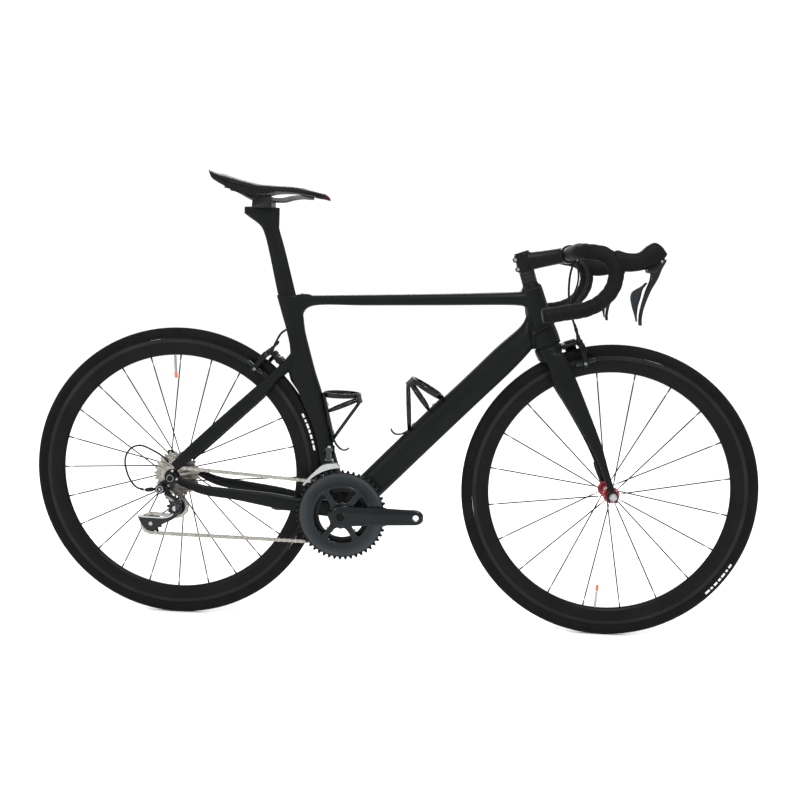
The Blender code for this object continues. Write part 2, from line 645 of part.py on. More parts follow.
def make_brake(name, brake, bolt_start):
    second = (14.0, 3.0)
    bolt = rod(brake_point(brake, 0, 0, bolt_start), brake_point(brake, 0, 0, 27), 3.0, count=8)
    head = rod(brake_point(brake, 0, 0, 26.6), brake_point(brake, 0, 0, 31), 5.5, count=6)
    bridge = brake_plate(brake, [(-6, -5), (18, -4), (20, 3), (14, 9), (-4, 6)], 9.5, 12.6)
    pin = rod(brake_point(brake, *second, 12), brake_point(brake, *second, 19.2), 2.6, count=8)
    add_piece(name + "_brake_bolt", joined(bolt, head, bridge, pin), SILVER, brake[0])
    pad_low, pad_high = -49.0, -40.0
    arms = (("left", 1, second, 13.0, 19.0), ("right", -1, (0.0, 0.0), 19.6, 26.0))
    for side_name, side, pivot, low, high in arms:
        if side > 0:
            outline = [(8, -1), (19, -5), (24, -18), (22, -38), (22, -52), (30, -52), (32, -38), (35, -16),
                       (30, 2), (20, 10), (8, 9)]
        else:
            outline = [(7, -5), (-6, -6), (-20, -10), (-25, -22), (-22, -38), (-22, -52), (-30, -52), (-32, -38),
                       (-36, -20), (-33, -6), (-22, 6), (-2, 10), (7, 7)]
        arm = brake_plate(brake, outline, low, high)
        hole = rod(brake_point(brake, *pivot, low - 2), brake_point(brake, *pivot, high + 2), 3.4, count=8)
        arm = cut(arm, hole)
        near = side * 11.9
        far = side * 22.6
        middle = (low + high) / 2
        pad = hull([brake_point(brake, y, out, along) for y in (near, far) for out in (pad_low, pad_high)
                    for along in (middle - 19, middle + 25)])
        hinge = brake_point(brake, *pivot, middle)
        add_piece(f"{name}_brake_arm_{side_name}", joined(arm, pad), SATIN_BLACK, hinge)


# ---------------------------------------------------------------- drivetrain


def toothed(centre, teeth, y_low, y_high, hole):
    """A chainring or pulley blank with its teeth and a round hole."""
    outline = []
    for tooth in range(teeth):
        low, high = pitch_radius(teeth) - 3.9, tip_radius(teeth)
        for part, radius in ((0.0, low), (0.36, high), (0.6, high)):
            angle = 2 * math.pi * (tooth + part) / teeth
            outline.append((centre.x + radius * math.cos(angle), centre.z + radius * math.sin(angle)))
    middle = Vector((centre.x, 0, centre.z))
    bore = rod(middle + Y_AXIS * (y_low - 3), middle + Y_AXIS * (y_high + 3), hole, count=24)
    return cut(plate(outline, y_low, y_high), bore)


def make_chainrings():
    for name, teeth, y, half, hole in (("chainring_large", LARGE_RING_TEETH, LARGE_RING_Y, 1.1, 62.0),
                                       ("chainring_small", SMALL_RING_TEETH, SMALL_RING_Y, 0.9, 51.0)):
        ring = toothed(CRANK_CENTRE, teeth, y - half, y + half, hole)
        tabs = []
        if hole > 60:
            for angle in SPIDER_ANGLES:
                low = on_circle(CRANK_CENTRE, 50.0, angle)
                high = on_circle(CRANK_CENTRE, 66.0, angle)
                across = Vector((-math.sin(math.radians(angle)), 0, math.cos(math.radians(angle)))) * 9
                corners = [low + across, low - across, high - across * 1.4, high + across * 1.4]
                tabs.append(plate([(point.x, point.z) for point in corners], y - half, y + half))
        add_piece(name, joined(ring, *tabs), GREY_METAL if hole > 60 else SILVER, CRANK_CENTRE)


def crank_arm(side, angle):
    """An arm from the spindle to the pedal eye, swept outwards: places along it are from the spindle."""
    turn = Matrix.Translation(CRANK_CENTRE) @ Matrix.Rotation(math.radians(-angle), 4, "Y")
    rings = []
    for place, inner, outer, half_height in ((-22, 50.5, 62, 12), (0, 50.5, 66, 23), (24, 50.5, 67, 22),
                                              (80, 52.5, 68.5, 20), (150, 57.5, 71.5, 17.5),
                                              (CRANK_LENGTH + 8, 58.5, 71.5, 16),
                                              (CRANK_LENGTH + 17, 59.5, 70.5, 7)):
        centre = Vector((place, side * (inner + outer) / 2, 0))
        rings.append(oval(centre, Y_AXIS, Z_AXIS, (outer - inner) / 2, half_height, 12, 3.0))
    arm = placed(rings_solid(rings), turn)
    eye = on_circle(CRANK_CENTRE, CRANK_LENGTH, angle)
    hole = rod(eye + Y_AXIS * side * 50, eye + Y_AXIS * side * 80, 6.6, count=12)
    return cut(arm, hole)


def make_cranks():
    arm = crank_arm(-1, CRANK_ANGLE)
    boss = rod(CRANK_CENTRE - Y_AXIS * 44.6, CRANK_CENTRE - Y_AXIS * 60, 25, count=20)
    spindle = rod(CRANK_CENTRE - Y_AXIS * 50, CRANK_CENTRE + Y_AXIS * 63, SPINDLE_RADIUS, count=16)
    spider = []
    for angle in SPIDER_ANGLES:
        across = Vector((-math.sin(math.radians(angle)), 0, math.cos(math.radians(angle))))
        half = ((22.6, 9), (50, 8), (60, 5))
        outline = [on_circle(CRANK_CENTRE, radius, angle) + across * wide for radius, wide in half]
        outline += [on_circle(CRANK_CENTRE, radius, angle) - across * wide for radius, wide in reversed(half)]
        spider.append(plate([(point.x, point.z) for point in outline], -46.3, -41.0))
    add_piece("crank_arm_right", joined(arm, boss, spindle, *spider), GREY_METAL, CRANK_CENTRE)
    other = crank_arm(1, CRANK_ANGLE + 180)
    bore = rod(CRANK_CENTRE + Y_AXIS * 40, CRANK_CENTRE + Y_AXIS * 80, SPINDLE_RADIUS + GAP, count=16)
    add_piece("crank_arm_left", cut(other, bore), GREY_METAL, CRANK_CENTRE)
    cup = [(-44.2, 12.4), (-44.2, 21.5), (-34.4, 21.5), (-34.4, 17.1),
           (34.4, 17.1), (34.4, 21.5), (44.2, 21.5),
           (44.2, 12.4)]
    add_piece("bottom_bracket", turned(cup, CRANK_CENTRE, 20), SATIN_BLACK)


def make_cassette():
    """Nine cogs on one carrier, each as a disc of its own outer size."""
    profile = []
    for index, teeth in enumerate(CASSETTE_TEETH):
        y = SMALL_COG_Y + index * COG_SPACING
        profile += [(y - 0.9, tip_radius(teeth)), (y + 0.9, tip_radius(teeth))]
        profile += [(y + 0.9, 17.0), (y + COG_SPACING - 0.9, 17.0)] if index == 0 else []
    profile += [(-22.2, 19.0), (-22.2, AXLE_RADIUS + 0.9), (-62.5, AXLE_RADIUS + 0.9),
                (-62.5, 15.0), (-60.9, 15.0)]
    add_piece("cassette", turned(profile, REAR_AXLE, 20), SILVER, REAR_AXLE)


GUIDE_PULLEY = Vector((12.0, 0.0, 267.0))
TENSION_PULLEY = Vector((-48.0, 0.0, 226.0))


LONG_RUN = 150.0


def chain_route():
    """The chain's pitch line round ring, cog and both pulleys: arcs joined by straight runs."""
    wheels = [(CRANK_CENTRE, pitch_radius(SMALL_RING_TEETH), 1, SMALL_RING_Y, 12),
              (REAR_AXLE, pitch_radius(CASSETTE_TEETH[0]), 1, SMALL_COG_Y, 24),
              (GUIDE_PULLEY, pitch_radius(PULLEY_TEETH), -1, SMALL_COG_Y, 24),
              (TENSION_PULLEY, pitch_radius(PULLEY_TEETH), 1, SMALL_COG_Y, 24)]
    touches = []
    for index, (centre, radius, turn, y, _) in enumerate(wheels):
        other, other_radius, other_turn, other_y, _ = wheels[(index + 1) % len(wheels)]
        gap = other - centre
        heading = math.atan2(gap.z, gap.x)
        lean = math.asin((other_radius * other_turn - radius * turn) / math.hypot(gap.x, gap.z))
        leave = heading - lean - turn * math.pi / 2 if turn > 0 else heading - lean + math.pi / 2
        arrive = heading - lean - other_turn * math.pi / 2 if other_turn > 0 else heading - lean + math.pi / 2
        touches.append((leave, arrive))
    points = []
    for index, (centre, radius, turn, y, step) in enumerate(wheels):
        start = touches[index - 1][1]
        end = touches[index][0]
        sweep = (end - start) % (2 * math.pi) if turn > 0 else -((start - end) % (2 * math.pi))
        count = max(2, round(abs(math.degrees(sweep)) / step))
        for item in range(count + 1):
            angle = start + sweep * item / count
            points.append(Vector((centre.x + radius * math.cos(angle), y,
                                  centre.z + radius * math.sin(angle))))
    return points


def with_straight_ends(route):
    """Keeps the chain in line with its wheels for a little way at both ends of a long run."""
    result = []
    for index, point in enumerate(route):
        after = route[(index + 1) % len(route)]
        result.append(point)
        run = after - point
        if run.length > LONG_RUN:
            for part, y in ((32 / run.length, point.y), (1 - 32 / run.length, after.y)):
                middle = point.lerp(after, part)
                result.append(Vector((middle.x, y, middle.z)))
    return result


def make_chain():
    """Two bands of side plates in a closed loop, held apart by rollers on the straight runs."""
    route = with_straight_ends(chain_route())
    count = len(route)
    bands = []
    for low, high in ((-3.2, -1.4), (1.4, 3.2)):
        rings = []
        for index, point in enumerate(route):
            along = (route[(index + 1) % count] - point).normalized()
            along += (point - route[index - 1]).normalized()
            along.y = 0
            along.normalize()
            up = Y_AXIS.cross(along)
            rings.append([point + Y_AXIS * side + up * tall
                          for side, tall in ((low, -4.1), (high, -4.1), (high, 4.1), (low, 4.1))])
        bands.append(rings_solid(rings, looped=True))
    rollers = []
    for index, point in enumerate(route):
        after = route[(index + 1) % count]
        if (after - point).length > LONG_RUN:
            for part in (0.1, 0.3, 0.5, 0.7, 0.9):
                middle = point.lerp(after, part)
                rollers.append(rod(middle - Y_AXIS * 2, middle + Y_AXIS * 2, 3.0, count=6))
    add_piece("chain", joined(bands[0], bands[1], *rollers), SILVER)


# ---------------------------------------------------------------- derailleurs

SWING = Vector((0.0, 0.76, -0.65)).normalized()
REACH = (Vector((0.852, -0.341, -0.398)) - SWING * SWING.dot(Vector((0.852, -0.341, -0.398)))).normalized()
LINK_AXIS = SWING.cross(REACH)
LINK_LENGTH = 38.0
LINK_START = math.radians(10)
LINK = REACH * (LINK_LENGTH * math.cos(LINK_START)) - SWING * (LINK_LENGTH * math.sin(LINK_START))
OUTER_PIVOT = Vector((-6.0, -84.5, 300.0))
INNER_PIVOT = OUTER_PIVOT + SWING * 12


def capsule(start, end, axis, radius, low, high, count=10):
    """A bar with round ends, square to an axis and between two places along it."""
    points = []
    for middle in (start, end):
        for index in range(count):
            angle = 2 * math.pi * index / count
            side = axis.orthogonal().normalized()
            out = side * math.cos(angle) + axis.cross(side) * math.sin(angle)
            points += [middle + out * radius + axis * low, middle + out * radius + axis * high]
    return hull(points)


def make_rear_derailleur():
    bolt_place = Vector((-21.0, 0.0, 311.5))
    body = rod(bolt_place - Y_AXIS * 71.4, bolt_place - Y_AXIS * 88, 7.0, count=12)
    lug = capsule(OUTER_PIVOT, INNER_PIVOT, LINK_AXIS, 4.6, -9.5, -4.9)
    corner = OUTER_PIVOT - LINK_AXIS * 7.5
    arm = hull([bolt_place - Y_AXIS * y + Vector((x, 0, z))
                for y in (74, 86) for x, z in ((-4, 6), (5, 5), (-4, -1))]
               + [corner + Vector((x, y, z)) for x, y, z in ((1, -2, 3), (1, 3, 2), (0, 1, 0))])
    adjuster = rod(bolt_place + Vector((-5, -79, -1)), Vector((-58, -78, 306)), 3.4, 3.0, 8)
    add_piece("rear_derailleur_mount", joined(body, lug, arm, adjuster), GREY_METAL)
    for name, pivot in (("outer", OUTER_PIVOT), ("inner", INNER_PIVOT)):
        link = capsule(pivot, pivot + LINK, LINK_AXIS, 4.3, -4.4, 4.4, 8)
        add_piece(f"rear_derailleur_{name}_link", link, GREY_METAL, pivot)
    far_outer = OUTER_PIVOT + LINK
    far_inner = INNER_PIVOT + LINK
    far_lug = capsule(far_outer, far_inner, LINK_AXIS, 4.6, 4.9, 9.5)
    socket = rod(GUIDE_PULLEY - Y_AXIS * 66, GUIDE_PULLEY - Y_AXIS * 78, 10.0, count=12)
    neck = hull([GUIDE_PULLEY + Vector((x, y, z)) for y in (-73.5, -77.5) for x, z in ((7, -6), (0, -9))]
                + [far_inner + LINK_AXIS * place + Vector((1, 0, 0)) for place in (5.8, 9)]
                + [far_outer + LINK_AXIS * place for place in (5.4, 9)])
    add_piece("rear_derailleur_knuckle", joined(socket, far_lug, neck), GREY_METAL, far_outer)
    plates = []
    for low, high in ((-65.4, -63.9), (-56.1, -54.6)):
        plates.append(capsule(GUIDE_PULLEY, TENSION_PULLEY, Y_AXIS, 9.0, low, high, 12))
    pins = [rod(pulley + Y_AXIS * -65, pulley + Y_AXIS * -55, 3.0, count=8)
            for pulley in (GUIDE_PULLEY, TENSION_PULLEY)]
    add_piece("rear_derailleur_cage", joined(*plates, *pins), SILVER, GUIDE_PULLEY + Y_AXIS * SMALL_COG_Y)
    for name, pulley in (("guide_pulley", GUIDE_PULLEY), ("tension_pulley", TENSION_PULLEY)):
        wheel = toothed(pulley, PULLEY_TEETH, SMALL_COG_Y - 1.0, SMALL_COG_Y + 1.0, 3.5)
        add_piece(name, wheel, SATIN_BLACK, pulley + Y_AXIS * SMALL_COG_Y)


FRONT_LINK_PIVOT = Vector((352.0, -29.0, 409.0))
FRONT_CAGE_PIVOT = Vector((352.0, -41.0, 387.5))


def make_front_derailleur():
    mount = hull([Vector((x, y, z)) for x in (340, 364)
                  for y, z in ((-19, 405), (-21.5, 418), (-29, 415), (-31, 405), (-21, 397))])
    mount = cut(mount, box((345.4, -40, 388), (358.6, -22.5, 424)))
    seat_tube = edge_loft([((313, 430), (354, 430), 0, 20 + GAP), ((324, 380), (368, 380), 0, 21 + GAP)], 12, 2.6)
    mount = cut(mount, seat_tube)
    add_piece("front_derailleur_mount", mount, SATIN_BLACK)
    link = capsule(FRONT_LINK_PIVOT, FRONT_CAGE_PIVOT, X_AXIS, 4.5, -6.0, 6.0, 8)
    add_piece("front_derailleur_link", link, SATIN_BLACK, FRONT_LINK_PIVOT)
    shapes = []
    for low, high, last in ((-35.2, -34.0, 148), (-47.2, -46.0, 128)):
        angles = [96 + (last - 96) * step / 5 for step in range(6)]
        edge = [on_circle(CRANK_CENTRE, 119.5, angle) for angle in angles]
        edge += [on_circle(CRANK_CENTRE, 107.5, angle) for angle in reversed(angles)]
        shapes.append(plate([(point.x, point.z) for point in edge], low, high))
    for radius, angle in ((116.0, 98.5), (111.0, 126.0)):
        middle = on_circle(CRANK_CENTRE, radius, angle)
        shapes.append(rod(middle - Y_AXIS * 46.8, middle - Y_AXIS * 34.6, 2.2, count=6))
    ear = hull([FRONT_CAGE_PIVOT + Vector((x, y, z))
                for x in (6.5, 10.5) for y, z in ((-4, 3), (4, 3), (4, -5))]
               + [Vector((x, y, z)) for x, z in ((358.7, 372), (364, 372)) for y in (-35.0, -34.2)])
    add_piece("front_derailleur_cage", joined(*shapes, ear), SILVER, FRONT_CAGE_PIVOT)


# ---------------------------------------------------------------- seat


def make_seatpost():
    post = rings_solid(seatpost_section(0.0, SEATPOST_OVAL))
    side = [(163, 946), (207, 946), (206, 969), (200, 975), (170, 975), (164, 969)]
    cradle = hull([Vector((x, y, z)) for x, z in side for y in (-27, 27)])
    route = rail_path()
    grooves = [tube(half, [4.0] * len(half), 8) for half in (route[:8], route[-8:])]
    add_piece("seatpost", cut(joined(post, cradle), *grooves), FRAME_BLACK, smooth=40)


def rail_path():
    half = [Vector((86, 30, 985)), Vector((112, 27, 983)), Vector((136, 23.5, 977)), Vector((152, 21.5, 970)),
            Vector((166, 21, 965.5)), Vector((206, 21, 965.5)),
            Vector((230, 20, 966)), Vector((252, 17, 971.5)),
            Vector((272, 13, 974)), Vector((290, 7, 972.5)), Vector((296, 0, 972))]
    return half + [Vector((point.x, -point.y, point.z)) for point in reversed(half[:-1])]


SADDLE_STATIONS = [(69, 1026.5, 1018, 44), (84, 1023.5, 997, 60),
                   (112, 1016, 990.5, 71), (140, 1007.5, 986, 67),
                   (175, 1000, 982, 50), (220, 997.5, 982, 33), (265, 996, 982, 24), (305, 990, 979.5, 20),
                   (328, 981, 970, 15), (335, 975.5, 969, 8)]


def make_saddle():
    """The rails, the hard shell and, on top, the padded cover with a flat underside."""
    path = rail_path()
    add_piece("saddle_rails", tube(path, [3.5] * len(path), 8), SILVER)
    cover = []
    shell = []
    for x, top, bottom, half_width in SADDLE_STATIONS:
        arch = [(math.cos(math.radians(angle)), math.sin(math.radians(angle))) for angle in range(0, 181, 30)]
        cover.append([Vector((x, half_width * across, bottom + (top - bottom) * up ** 0.6))
                      for across, up in arch])
        wide = half_width * 0.9
        shell.append([Vector((x, wide, bottom - GAP)), Vector((x, -wide, bottom - GAP)),
                      Vector((x, -wide * 0.94, bottom - 3.2)), Vector((x, wide * 0.94, bottom - 3.2))])
    add_piece("saddle_cover", rings_solid(cover), RUBBER, smooth=60)
    add_piece("saddle_shell", rings_solid(shell), SATIN_BLACK, smooth=60)


# ---------------------------------------------------------------- bottle cages and cables


def make_cage(name, foot, up, out):
    """A bottle cage: a back strip along the tube, two leaning hoops and a hooked foot."""
    centre_out = 43.0
    inside = 38.4
    outside = 41.6

    def at(side, height, outwards):
        return foot + Y_AXIS * side + up * height + out * outwards

    def hoop(rear, front, tall):
        """A closed band that leans from its height at the tube to its height at the front of the bottle."""
        rings = []
        for index in range(16):
            angle = 2 * math.pi * index / 16
            middle = rear + (front - rear) * (1 - math.cos(angle)) / 2
            corners = [(inside, -tall), (outside, -tall), (outside, tall), (inside, tall)]
            rings.append([at(math.sin(angle) * r, middle + lift / 2, centre_out - math.cos(angle) * r)
                          for r, lift in corners])
        return rings_solid(rings, looped=True)

    def bar(points, half_width, thickness):
        """A flat strip that follows places given as (height, outwards)."""
        path = [at(0, height, outwards) for height, outwards in points]
        rings = []
        for point, _, front in frames_along(path, Y_AXIS):
            rings.append([point + Y_AXIS * side + front * deep for side, deep in
                          ((-half_width, -thickness / 2), (half_width, -thickness / 2),
                           (half_width, thickness / 2), (-half_width, thickness / 2))])
        return rings_solid(rings)

    strip = hull([at(side, height, outwards) for side in (-10, 10) for height in (-60, 62)
                  for outwards in (GAP, centre_out - inside + 0.4)])
    front = hull([at(side, height, outwards) for side in (-9, 9) for height in (20, 43)
                  for outwards in (centre_out + inside + 0.5, centre_out + inside + 4.3)])
    foot_bar = bar([(-52, 2.6), (-60, 4.0), (-70, 8.6), (-77, 15.0), (-79.6, 24.0), (-77, 33.0)], 8, 3.4)
    shape = joined(strip, hoop(56, 38.2, 9.5), hoop(-46, 25.3, 9.1), front, foot_bar)
    add_piece(name, shape, GLOSS_BLACK, smooth=40)


def make_cables():
    add_cable("front_brake_cable", [(884, -34, 855), (876, -34, 838), (872, -33.5, 812), (873, -32, 775),
                                    (881, -30.5, 735), (891.6, -29.5, 708)], 2.5, SATIN_BLACK)
    add_cable("rear_brake_housing", [(886, -48, 858), (904, -52, 838), (908, -52, 806), (892, -47, 768),
                                     (862, -38, 733), (826, -31, 706), (798, -27.5, 690)], 2.5, SATIN_BLACK)
    add_cable("gear_housing", [(888, 56, 860), (902, 60, 838), (902, 58, 802), (884, 50, 762), (852, 40, 728),
                               (820, 32, 704), (794, 27.5, 688)], 2.1, SATIN_BLACK)
    add_cable("derailleur_cable", [(-6, -74.2, 372), (-17, -77, 384), (-40, -79, 398), (-68, -80, 408),
                                   (-92, -80, 398), (-103, -79.5, 372), (-96, -79, 338), (-80, -78.5, 314),
                                   (-61, -78.2, 306.6)], 2.1, SATIN_BLACK)
    add_cable("rear_brake_cable", [(241, 0, 676), (230, 6, 668), (220, 14, 654), (213, 20, 640)],
              2.5, SATIN_BLACK)


# ---------------------------------------------------------------- assembly

for existing in list(bpy.data.objects):
    bpy.data.objects.remove(existing)
UNDER_REAR_AXLE = bpy.data.objects.new("under_rear_axle", None)
UNDER_REAR_AXLE.location = (-WHEELBASE / 2 * MM, 0.0, 0.0)
bpy.context.scene.collection.objects.link(UNDER_REAR_AXLE)

for place, axle_point, valve in (("front", FRONT_AXLE, -93.0), ("rear", REAR_AXLE, 93.0)):
    make_tyre(place + "_tyre", axle_point)
    make_inner_tube(place + "_inner_tube", axle_point, valve)
    make_rim(place + "_rim", axle_point, valve)
make_front_hub(FRONT_AXLE)
make_rear_hub(REAR_AXLE)
make_axle("front_axle", FRONT_AXLE, FRONT_SPACING, (-44.0, 44.0), SILVER)
make_axle("rear_axle", REAR_AXLE, REAR_SPACING, (-62.5, 44.0), SILVER)
make_skewer_lever("front_skewer_lever", FRONT_AXLE, FRONT_SPACING, -110)
make_skewer_lever("rear_skewer_lever", REAR_AXLE, REAR_SPACING, -150)
make_frame()
make_fork()
make_headset()
make_stem()
make_handlebar()
make_controls("left", 1)
make_controls("right", -1)
make_brake("front", FRONT_BRAKE, -88)
make_brake("rear", REAR_BRAKE, -10)
make_cranks()
make_chainrings()
make_cassette()
make_chain()
make_rear_derailleur()
make_front_derailleur()
make_seatpost()
make_saddle()
make_cage("bottle_cage_seat_tube", Vector((344.6, 0, 477)),
          Vector((-0.237, 0, 0.9715)), Vector((0.9715, 0, 0.237)))
make_cage("bottle_cage_down_tube", Vector((566, 0, 492.5)),
          Vector((0.69, 0, 0.7238)), Vector((-0.7238, 0, 0.69)))
make_cables()
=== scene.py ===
"""The looks of the road bicycle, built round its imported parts.

Places are millimetres from the ground under the rear axle: X forwards, Y to the rider's left, Z up.
"""

import math

import bmesh
import bpy
from mathutils import Matrix, Vector


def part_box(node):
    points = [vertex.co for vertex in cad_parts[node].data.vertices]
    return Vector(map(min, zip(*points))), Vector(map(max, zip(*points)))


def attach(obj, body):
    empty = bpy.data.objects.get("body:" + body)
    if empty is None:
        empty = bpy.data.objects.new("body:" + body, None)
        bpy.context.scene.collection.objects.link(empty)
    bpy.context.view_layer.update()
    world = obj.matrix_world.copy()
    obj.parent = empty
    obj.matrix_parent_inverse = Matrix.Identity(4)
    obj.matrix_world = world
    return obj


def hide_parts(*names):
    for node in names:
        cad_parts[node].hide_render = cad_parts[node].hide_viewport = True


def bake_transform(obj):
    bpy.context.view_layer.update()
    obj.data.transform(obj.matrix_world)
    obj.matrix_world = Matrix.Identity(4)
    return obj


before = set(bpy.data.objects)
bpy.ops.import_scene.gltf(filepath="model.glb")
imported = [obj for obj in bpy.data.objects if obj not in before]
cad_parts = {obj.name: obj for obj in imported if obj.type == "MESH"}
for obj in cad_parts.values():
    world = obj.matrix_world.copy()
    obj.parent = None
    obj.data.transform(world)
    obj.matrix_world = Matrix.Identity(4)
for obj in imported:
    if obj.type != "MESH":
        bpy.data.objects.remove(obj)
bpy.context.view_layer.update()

MM = 0.001
GAP = 0.35
X_AXIS = Vector((1.0, 0.0, 0.0))
Y_AXIS = Vector((0.0, 1.0, 0.0))
Z_AXIS = Vector((0.0, 0.0, 1.0))


def middle_of(node):
    low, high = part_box(node)
    return (low + high) / (2 * MM)


def size_of(node):
    low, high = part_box(node)
    return (high - low) / MM


UNDER_REAR_AXLE = Vector((middle_of("rear_rim").x, 0.0, 0.0))
TYRE_RADIUS = size_of("rear_tyre").z / 2
REAR_AXLE = Vector((0.0, 0.0, TYRE_RADIUS))
FRONT_AXLE = middle_of("front_rim") - UNDER_REAR_AXLE
FRONT_AXLE.y = 0.0
RIM_RADIUS = size_of("rear_rim").z / 2
RIM_BED_RADIUS = 273.0
RIM_HALF_WIDTH = 10.0
TYRE_HALF_WIDTH = 12.4
MARK_LENGTHS = (2.2, 1.1, 1.7, 1.4, 2.0, 1.1, 1.7)
MARK_SPACING = 2.3
MARK_RADII = (320.6, 325.0)
ROUND_STEPS = 160
FRONT_SPOKES = 20
REAR_SPOKES = 24
FRONT_SPACING = 50.2
REAR_SPACING = 65.2
DROPOUT_THICKNESS = 5.8
AXLE_RADIUS = 4.4
TYRE_CLEARANCE = 341.0
REAR_GROOVE = 15.8
FRONT_GROOVE = 16.5
BRAKE_HOLE = 3.4

CRANK_CENTRE = middle_of("chainring_large") - UNDER_REAR_AXLE
CRANK_CENTRE.y = 0.0
CRANK_LENGTH = 170.0
PEDAL_EYE_RADIUS = 6.9
SPINDLE_RADIUS = 12.0
CUP_NOTCHES = 16
CRANK_ANGLE = 2.0
SPIDER_ANGLES = (CRANK_ANGLE + 50, CRANK_ANGLE - 58, CRANK_ANGLE + 123, CRANK_ANGLE - 128)
CHAIN_PITCH = 12.7
LINK_RADIUS = 4.1
LARGE_RING_TEETH = 50
SMALL_RING_TEETH = 34
PULLEY_TEETH = 11
CASSETTE_TEETH = (11, 12, 13, 14, 15, 16, 17, 19, 21, 23, 25)
SMALL_RING_Y = -39.4
LARGE_RING_Y = -47.8
SMALL_COG_Y = -60.0
LONG_RUN = 150.0
STRAIGHT_RUN = 32.0
FRONT_LINK_PIVOT = Vector((352.0, -29.0, 409.0))
FRONT_CAGE_PIVOT = Vector((352.0, -41.0, 387.5))
FRAME_VOXEL = 2.6
GUIDE_PULLEY = Vector((12.0, 0.0, 267.0))
TENSION_PULLEY = Vector((-48.0, 0.0, 226.0))

STEERER_RADIUS = 14.3
HEAD_LOW = Vector((835.1, 0.0, 663.0))
HEAD_UP = Vector((-0.3173, 0.0, 0.9483)).normalized()
HEAD_FORWARD = Vector((0.9483, 0.0, 0.3173)).normalized()
HEAD_LENGTH = 134.0
STEM_HEIGHTS = (174.0, 215.0)
BAR_CENTRE = Vector((871.0, 0.0, 868.0))
BAR_RADIUS = 11.9
BAR_CLAMP_RADIUS = 15.9
TAPE_RADIUS = 15.8
TAPE_START = 60.0
TAPE_PITCH = 19.0
LEVER_SIDE = 200.0
BAR_ROUTE = [(871, 0, 868), (871, 40, 868), (871, 120, 868), (873, 163, 868), (890, 188, 866),
             (918, 197, 861),
             (938, 200, 843), (943, 200, 815), (934, 201, 787), (912, 202, 763), (884, 203, 749),
             (850, 204, 742), (803, 205, 733)]

SWING = Vector((0.0, 0.76, -0.65)).normalized()
LEAN = Vector((0.852, -0.341, -0.398))
REACH = (LEAN - SWING * SWING.dot(LEAN)).normalized()
LINK_AXIS = SWING.cross(REACH)
LINK_LENGTH = 38.0
LINK_ANGLE = math.radians(10)
LINK = REACH * (LINK_LENGTH * math.cos(LINK_ANGLE)) - SWING * (LINK_LENGTH * math.sin(LINK_ANGLE))
OUTER_PIVOT = Vector((-6.0, -84.5, 300.0))
INNER_PIVOT = OUTER_PIVOT + SWING * 12

RIDGE_FLATNESS = 3.2
EDGE_FLATNESS = 1.45
RAIL_RADIUS = 3.5
SADDLE_STEPS = 40
CLOTH_STEPS = 20
BOSS_HEIGHTS = (-32, 32)
BRAKE_HOUSING_RADIUS = 2.5
GEAR_HOUSING_RADIUS = 2.1
COAT_ROUGHNESS = 0.12


# ---------------------------------------------------------------- finishes


def look(name, colour, other, rough, spread, metallic=0.0, coat=0.0, patches=14.0, pattern="NOISE",
         scale=900.0, stretch=(1.0, 1.0, 1.0), bump=0.2, depth=0.1, wear=None, specular=0.5):
    """A procedural finish: two colours in soft patches, uneven gloss, a fine raised pattern and worn
    edges."""
    material = bpy.data.materials.new(name)
    material.use_nodes = True
    tree = material.node_tree
    link = tree.links.new

    def node(kind, **values):
        made = tree.nodes.new("ShaderNode" + kind)
        for key, value in values.items():
            made.inputs[key.replace("_", " ")].default_value = value
        return made

    def ramp(low, high):
        made = node("ValToRGB")
        for stop, place in zip(made.color_ramp.elements, (low, high)):
            stop.position = place
        return made

    shader = tree.nodes["Principled BSDF"]
    for key, value in (("Metallic", metallic), ("Coat Weight", coat), ("Coat Roughness", COAT_ROUGHNESS),
                       ("Specular IOR Level", specular)):
        shader.inputs[key].default_value = value
    place = node("TexCoord")
    cloud = node("TexNoise", Scale=patches, Detail=8.0)
    link(place.outputs["Object"], cloud.inputs["Vector"])
    shade = ramp(0.35, 0.65)
    for stop, tint in zip(shade.color_ramp.elements, (colour, other)):
        stop.color = (*tint, 1.0)
    link(cloud.outputs["Fac"], shade.inputs["Fac"])
    colour_out = shade.outputs["Color"]
    if wear:
        edge = ramp(0.52, 0.62)
        link(node("NewGeometry").outputs["Pointiness"], edge.inputs["Fac"])
        worn = node("MixRGB", Color2=(*wear, 1.0))
        link(edge.outputs["Color"], worn.inputs["Fac"])
        link(colour_out, worn.inputs["Color1"])
        colour_out = worn.outputs["Color"]
    link(colour_out, shader.inputs["Base Color"])
    gloss = node("MapRange", To_Min=rough - spread, To_Max=rough + spread)
    link(cloud.outputs["Fac"], gloss.inputs["Value"])
    link(gloss.outputs["Result"], shader.inputs["Roughness"])
    turn = node("Mapping", Scale=stretch)
    link(place.outputs["Object"], turn.inputs["Vector"])
    kind, settings, out = {"VORONOI": ("TexVoronoi", {}, "Distance"),
                           "WAVE": ("TexWave", {"Distortion": 1.5}, "Fac"),
                           "NOISE": ("TexNoise", {"Detail": 3.0}, "Fac")}[pattern]
    fine = node(kind, Scale=scale, **settings)
    link(turn.outputs["Vector"], fine.inputs["Vector"])
    raised = node("Bump", Strength=bump, Distance=depth * MM)
    link(fine.outputs[out], raised.inputs["Height"])
    link(raised.outputs["Normal"], shader.inputs["Normal"])
    return material


